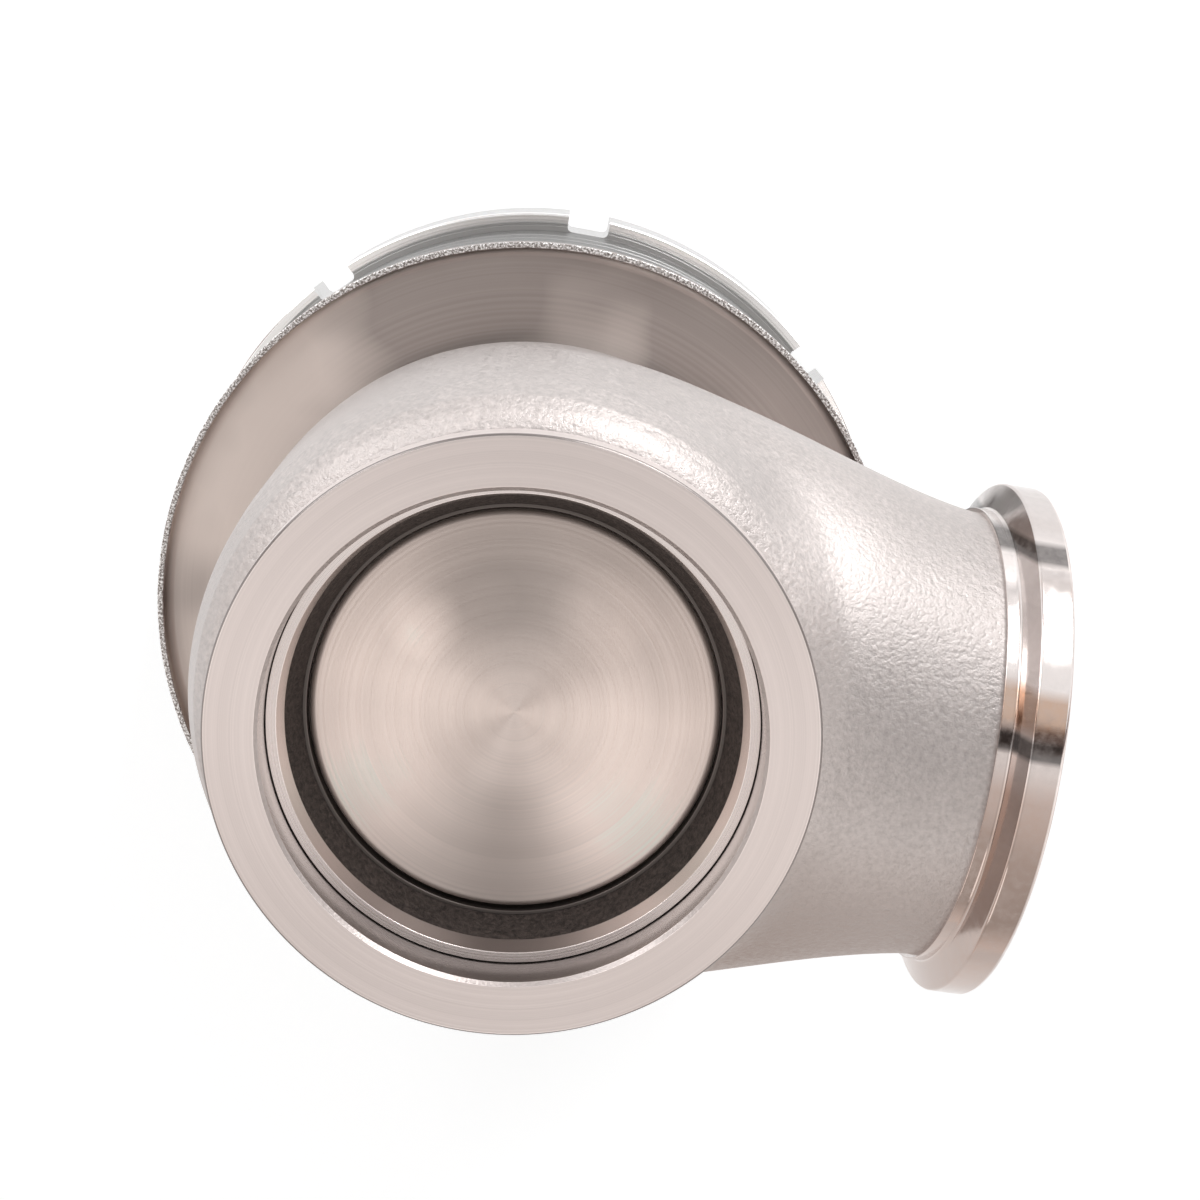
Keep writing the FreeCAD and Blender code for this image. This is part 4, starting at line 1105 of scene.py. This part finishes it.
class WASTEGATE_OT_shield(Operator):
    """Spin the heat shield: a flat disc, a soft corner and an upright rim."""

    bl_idname = "wastegate.shield"
    bl_label = "Heat shield"

    def execute(self, context):
        shield, colours = groups(context, "shield", "colours")
        back, floor = far_end("guide_bonnet"), far_end("heat_shield")
        inside = shield.radius - shield.sheet
        edge_round = 0.0002
        sheet = turned_mesh("heat_shield", [
            (shield.hole, back),
            (shield.flat_radius, back),
            (inside, floor - shield.sheet, shield.bend),
            (inside, shield.rim_depth, edge_round),
            (shield.radius, shield.rim_depth, edge_round),
            (shield.radius, floor, shield.bend + shield.sheet),
            (shield.flat_radius, back + shield.sheet),
            (shield.hole, back + shield.sheet),
        ])
        smooth(sheet)
        depth = face_centres(sheet)[1]
        paint(sheet, depth < shield.rim_depth + 0.00015)
        piece("heat_shield", sheet, [sheet_finish(colours), raw_edge_finish(colours)],
              "shield", stands_for=["heat_shield"])
        return {"FINISHED"}


def turned_band(outer, start):
    """The four corners of a shallow band turned into the can."""
    floor, end = outer - 0.0005, start + 0.0012
    return [(outer, start), (floor, start), (floor, end), (outer, end)]


class WASTEGATE_OT_can(Operator):
    """Turn the actuator's base with its bands and bore its two side ports."""

    bl_idname = "wastegate.can"
    bl_label = "Actuator base"

    def execute(self, context):
        can, colours = groups(context, "can", "colours")
        start, rim = near_end("actuator_base"), far_end("actuator_base")
        outer, thread = can.base_radius, can.base_radius - 0.0018
        collar_start = near_end("locking_collar") - 0.0001
        foot, foot_end, bevel_end = 0.046, start + 0.001, start + 0.0028
        floor = start + 0.008
        bush, seal, boss = 0.007, 0.0095, 0.013
        bush_end, boss_end = start + 0.0057, floor + 0.0025
        base = turned_mesh("actuator_base", [
            (bush, start),
            (foot, start),
            (foot, foot_end),
            (thread, foot_end, 0.0004),
            (outer, bevel_end, 0.0004),
            *turned_band(outer, can.band_first),
            *turned_band(outer, can.band_second),
            (outer, collar_start, 0.0005),
            (thread, collar_start),
            (thread, rim),
            (can.base_bore, rim),
            (can.base_bore, floor, 0.005),
            (boss, floor),
            (boss, boss_end),
            (seal, boss_end),
            (seal, bush_end),
            (bush, bush_end),
        ])
        base.materials.append(can_finish(colours))
        # Painted shade: the port walls are a darker copy of the can's colour.
        port = lathe_finish("shaded_port_bore", shade(colours.can, 0.6), 0.4)
        past = 0.002  # how far each drill runs past both sides of the wall
        ports = [side_drill("port", can.port_radius, can.base_bore - past, outer + past,
                            math.radians(turn), can.port_depth, port)
                 for turn in (-90, -135)]
        piece("actuator_base", carved(base, ports), [], "base", stands_for=["actuator_base"])
        return {"FINISHED"}


class WASTEGATE_OT_cap(Operator):
    """Turn the actuator's cap with its port."""

    bl_idname = "wastegate.cap"
    bl_label = "Actuator cap"

    def execute(self, context):
        can, colours = groups(context, "can", "colours")
        start, end = near_end("actuator_cap"), far_end("actuator_cap")
        flange, flange_end = widest("actuator_cap"), start + 0.0045
        crown, boss_start = end - 0.0045, end - 0.0075
        bore = can.cap_radius - 0.004
        boss, recess, recess_end = 0.0175, 0.030, end - 0.001
        turned_piece("actuator_cap", [
            (can.port_radius, boss_start),
            (boss, boss_start),
            (boss, crown),
            (bore, crown, 0.004),
            (bore, start),
            (flange, start),
            (flange, flange_end),
            (can.cap_radius, flange_end),
            (can.cap_radius, end, 0.004),
            (recess, end),
            (recess, recess_end),
            (can.port_radius, recess_end),
        ], [lathe_finish("satin_cap", colours.can, 0.34, contrast=0.05, rings=3000)], "cap",
            stands_for=["actuator_cap"])
        return {"FINISHED"}


class WASTEGATE_OT_collar(Operator):
    """Turn the locking collar with its spanner notches."""

    bl_idname = "wastegate.collar"
    bl_label = "Locking collar"

    def execute(self, context):
        can, colours = groups(context, "can", "colours")
        start, end = near_end("locking_collar"), far_end("locking_collar")
        outer, thread = can.collar_radius, can.collar_radius - 0.005
        lip, lip_start = can.cap_radius + 0.0002, end - 0.0034
        line, line_width, line_end = can.base_radius + 0.0010, 0.0004, start + 0.0005
        collar = turned_mesh("locking_collar", [
            (thread, start),
            (line, start),
            (line, line_end),
            (line + line_width, line_end),
            (line + line_width, start),
            (outer, start, 0.0005),
            (outer, end, 0.0008),
            (lip, end),
            (lip, lip_start),
            (thread, lip_start),
        ])
        # Satin gloss with painted shade: the side, the notches and the hole get a darker copy of the
        # collar's colour.
        satin = lathe_finish("satin_collar_shaded", shade(colours.collar, 0.66), 0.30, contrast=0.04,
                             rings=2800)
        for finish in (lathe_finish("polished_collar", colours.collar, 0.13, contrast=0.02,
                                    rings=2800, anisotropy=0.1), can_finish(colours), satin):
            collar.materials.append(finish)
        radius, depth = face_centres(collar)
        inner = (radius < line + 0.0003) & (depth < line_end + 0.0001)
        side = depth > line_end + 0.0002
        paint(collar, inner + 2 * side)
        past, corner = 0.002, 0.001
        cutters = []
        for number in range(can.notch_count):
            slot = rounded_bar(outer - can.notch_depth, outer + 0.003, can.notch_width, corner,
                               start - past, end + past)
            slot.transform(Matrix.Rotation(2 * math.pi * number / can.notch_count, 4, "Z"))
            cutters.append(tool("slot", slot, satin))
        screw_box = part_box("collar_lock_screw")
        screw, screw_radius = (screw_box[0] + screw_box[1]) / 2, 0.002
        cutters.append(side_drill("hole", screw_radius, thread - past, outer + 0.001,
                                  math.atan2(screw.y, screw.x), -screw.z, satin))
        piece("locking_collar", carved(collar, cutters), [], "collar",
              stands_for=["locking_collar"])
        return {"FINISHED"}


class WASTEGATE_OT_finishes(Operator):
    """Give the CAD pieces that stay in view or inside their finishes."""

    bl_idname = "wastegate.finishes"
    bl_label = "Finishes"

    def execute(self, context):
        colours = context.scene.wastegate_colours
        steel = lathe_finish("plain_steel", colours.steel, 0.36, contrast=0.1)
        bronze = lathe_finish("guide_bronze", colours.bronze, 0.36)
        graphite = plain_finish("graphite_sheet", colours.graphite, 0.0, 0.75)
        rubber = plain_finish("moulded_rubber", colours.rubber, 0.0, 0.6)
        lacquer = plain_finish("spring_lacquer", colours.lacquer, 0.2, 0.4, grain=500)
        satin = lathe_finish("satin_inner", colours.can, 0.4)
        finishes = {
            steel: ["body_screws", "screw_washers", "port_plug", "diaphragm_screws",
                    "stem_washer", "stem_nut", "collar_lock_screw", "seal_circlip"],
            bronze: ["valve_guide", "stem_bush"],
            graphite: ["guide_seal", "body_gasket", "insulator_gasket"],
            rubber: ["stem_seal", "diaphragm"],
            lacquer: ["outer_spring", "middle_spring", "inner_spring"],
            satin: ["spring_cup", "diaphragm_ring"],
            inside_finish(colours): ["valve_body"],
        }
        for finish, nodes in finishes.items():
            for node in nodes:
                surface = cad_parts[node].data
                surface.materials.clear()
                surface.materials.append(finish)
        return {"FINISHED"}


class WASTEGATE_OT_stage(Operator):
    """Set the pale floor, the lamps, the surroundings and the camera."""

    bl_idname = "wastegate.stage"
    bl_label = "Stage"

    def execute(self, context):
        scene = context.scene
        scene.view_settings.view_transform = "Standard"
        pale_floor()
        surroundings(scene)
        for name, place, size, power in (
                ("key", (0.26, 0.80, 0.26), 0.35, 3.4),
                ("left", (-0.55, 0.50, 0.32), 0.40, 1.3),
                ("low", (0.05, -0.62, 0.40), 0.40, 0.6)):
            soft_lamp(name, place, size, power)
        standing_camera(scene)
        return {"FINISHED"}


def pale_floor():
    """A wide white square under the cap that keeps the shadow."""
    half, level = 3.0, CAD_BOX[0][2] - 0.0002
    mesh = bpy.data.meshes.new("floor")
    mesh.from_pydata([(-half, -half, level), (half, -half, level), (half, half, level),
                      (-half, half, level)], [], [(0, 1, 2, 3)])
    floor = placed("floor", mesh)
    material = bpy.data.materials.new("pale_floor")
    material.use_nodes = True
    shader = material.node_tree.nodes["Principled BSDF"]
    shader.inputs["Base Color"].default_value = (0.80, 0.80, 0.80, 1)
    shader.inputs["Roughness"].default_value = 1.0
    shader.inputs["Specular IOR Level"].default_value = 0.0
    shader.inputs["Emission Color"].default_value = (1, 1, 1, 1)
    nodes = Nodes(material.node_tree)
    seen = nodes.any_ray("Is Camera Ray", "Is Glossy Ray", "Is Transmission Ray")
    nodes.feed(nodes.sums("MULTIPLY", seen, 0.47), shader.inputs["Emission Strength"])
    mesh.materials.append(material)


def surroundings(scene):
    """A white background that lights the object at a plain level.

    Reflections see the studio round it: bright to both sides, grey and a little warm below,
    dimmer overhead with a dark strip, and white again down at the floor."""
    world = bpy.data.worlds.new("studio")
    scene.world = world
    world.use_nodes = True
    nodes = Nodes(world.node_tree)
    background = world.node_tree.nodes["Background"]
    x, y, z = nodes.parts(nodes.node("ShaderNodeTexCoord").outputs["Generated"])
    across, along = nodes.sums("MULTIPLY", x, x), nodes.sums("MULTIPLY", y, y)
    flat = nodes.sums("ADD", across, along)
    side = nodes.sums("DIVIDE", across, nodes.sums("ADD", flat, 0.01))
    wall = nodes.spread(side, nodes.spread(y, 0.5, 1.0, -0.5, 0.5), 1.4, 0, 1)
    wide_strip = nodes.spread(nodes.away(y, 0.27), 0.15, 1, 0.06, 0.11)
    fine_strip = nodes.spread(nodes.away(y, 0.90), 0.2, 1, 0.02, 0.05)
    strips = nodes.sums("MULTIPLY", wide_strip, fine_strip)
    dome = nodes.spread(nodes.spread(flat, 0, 1, 0.03, 0.35), 0.84, wall, 0, 1)
    tone = nodes.spread(z, 1.0, nodes.sums("MULTIPLY", dome, strips), 0.0, 0.25)
    mirrored = nodes.any_ray("Is Glossy Ray")
    seen = nodes.any_ray("Is Camera Ray", "Is Transmission Ray")
    plain = nodes.spread(seen, 0.55, 1.0, 0, 1)
    nodes.feed(nodes.spread(mirrored, plain, tone, 0, 1), background.inputs["Strength"])
    warm = nodes.mix(nodes.spread(y, 1, 0, -0.6, 0.3), (1, 1, 1), (1, 0.93, 0.885))
    warm = nodes.mix(nodes.spread(strips, 1, 0, 0.3, 1), warm, (1, 0.78, 0.70))
    nodes.feed(nodes.mix(mirrored, (1, 1, 1), warm), background.inputs["Color"])


def aimed(place, target, up):
    """Matrix of something at place that looks at target with the given way up."""
    place, target = np.array(place, float), np.array(target, float)
    back = (place - target) / np.linalg.norm(place - target)
    right = np.cross(up, back)
    right /= np.linalg.norm(right)
    top = np.cross(back, right)
    matrix = np.identity(4)
    matrix[:3, 0], matrix[:3, 1], matrix[:3, 2], matrix[:3, 3] = right, top, back, place
    return Matrix(matrix.tolist())


def soft_lamp(name, place, size, power):
    """A square soft lamp aimed at the middle of the body."""
    lamp = bpy.data.lights.new(name, "AREA")
    lamp.size, lamp.energy = size, power
    holder = placed(name, lamp)
    holder.matrix_world = aimed(place, (0, 0, -0.05), (0.01, 0.02, 1))


def standing_camera(scene):
    """The camera looks down on the inlet from a little behind it."""
    camera = bpy.data.cameras.new("camera")
    camera.lens, camera.sensor_width = 75, 36
    camera.clip_start, camera.clip_end = 0.01, 20
    holder = placed("camera", camera)
    place = np.array([-0.0063675, 0.0890609, 0.3299593])
    ahead = np.array([0.04371, -0.20005, -0.97881])
    holder.matrix_world = aimed(place, place + ahead, (-0.16995, 0.96398, -0.20461))
    scene.camera = holder


class WASTEGATE_PT_panel(Panel):
    """The wastegate's pieces and their sizes."""

    bl_idname = "WASTEGATE_PT_panel"
    bl_label = "Wastegate"
    bl_space_type = "VIEW_3D"
    bl_region_type = "UI"
    bl_category = "Wastegate"

    def draw(self, context):
        """A button for each operator, then the sizes of each group."""
        for operator in OPERATORS:
            self.layout.operator(operator.bl_idname)
        for name, group in GROUPS.items():
            box = self.layout.box()
            for size in group.__annotations__:
                box.prop(getattr(context.scene, name), size)


OPERATORS = (
    WASTEGATE_OT_casting,
    WASTEGATE_OT_inlet,
    WASTEGATE_OT_outlet,
    WASTEGATE_OT_valve,
    WASTEGATE_OT_bonnet,
    WASTEGATE_OT_shield,
    WASTEGATE_OT_can,
    WASTEGATE_OT_cap,
    WASTEGATE_OT_collar,
    WASTEGATE_OT_finishes,
    WASTEGATE_OT_stage,
)
CLASSES = (*GROUPS.values(), *OPERATORS, WASTEGATE_PT_panel)


def register():
    """Add the classes, and one group of sizes each to the scene."""
    for added in CLASSES:
        bpy.utils.register_class(added)
    for name, group in GROUPS.items():
        setattr(bpy.types.Scene, name, PointerProperty(type=group))


def unregister():
    """Take the groups and classes away again."""
    for name in GROUPS:
        delattr(bpy.types.Scene, name)
    for added in reversed(CLASSES):
        bpy.utils.unregister_class(added)


def main():
    """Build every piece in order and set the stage."""
    register()
    bpy.ops.wastegate.casting()
    bpy.ops.wastegate.inlet()
    bpy.ops.wastegate.outlet()
    bpy.ops.wastegate.valve()
    bpy.ops.wastegate.bonnet()
    bpy.ops.wastegate.shield()
    bpy.ops.wastegate.can()
    bpy.ops.wastegate.cap()
    bpy.ops.wastegate.collar()
    bpy.ops.wastegate.finishes()
    bpy.ops.wastegate.stage()


if __name__ == "__main__":
    main()
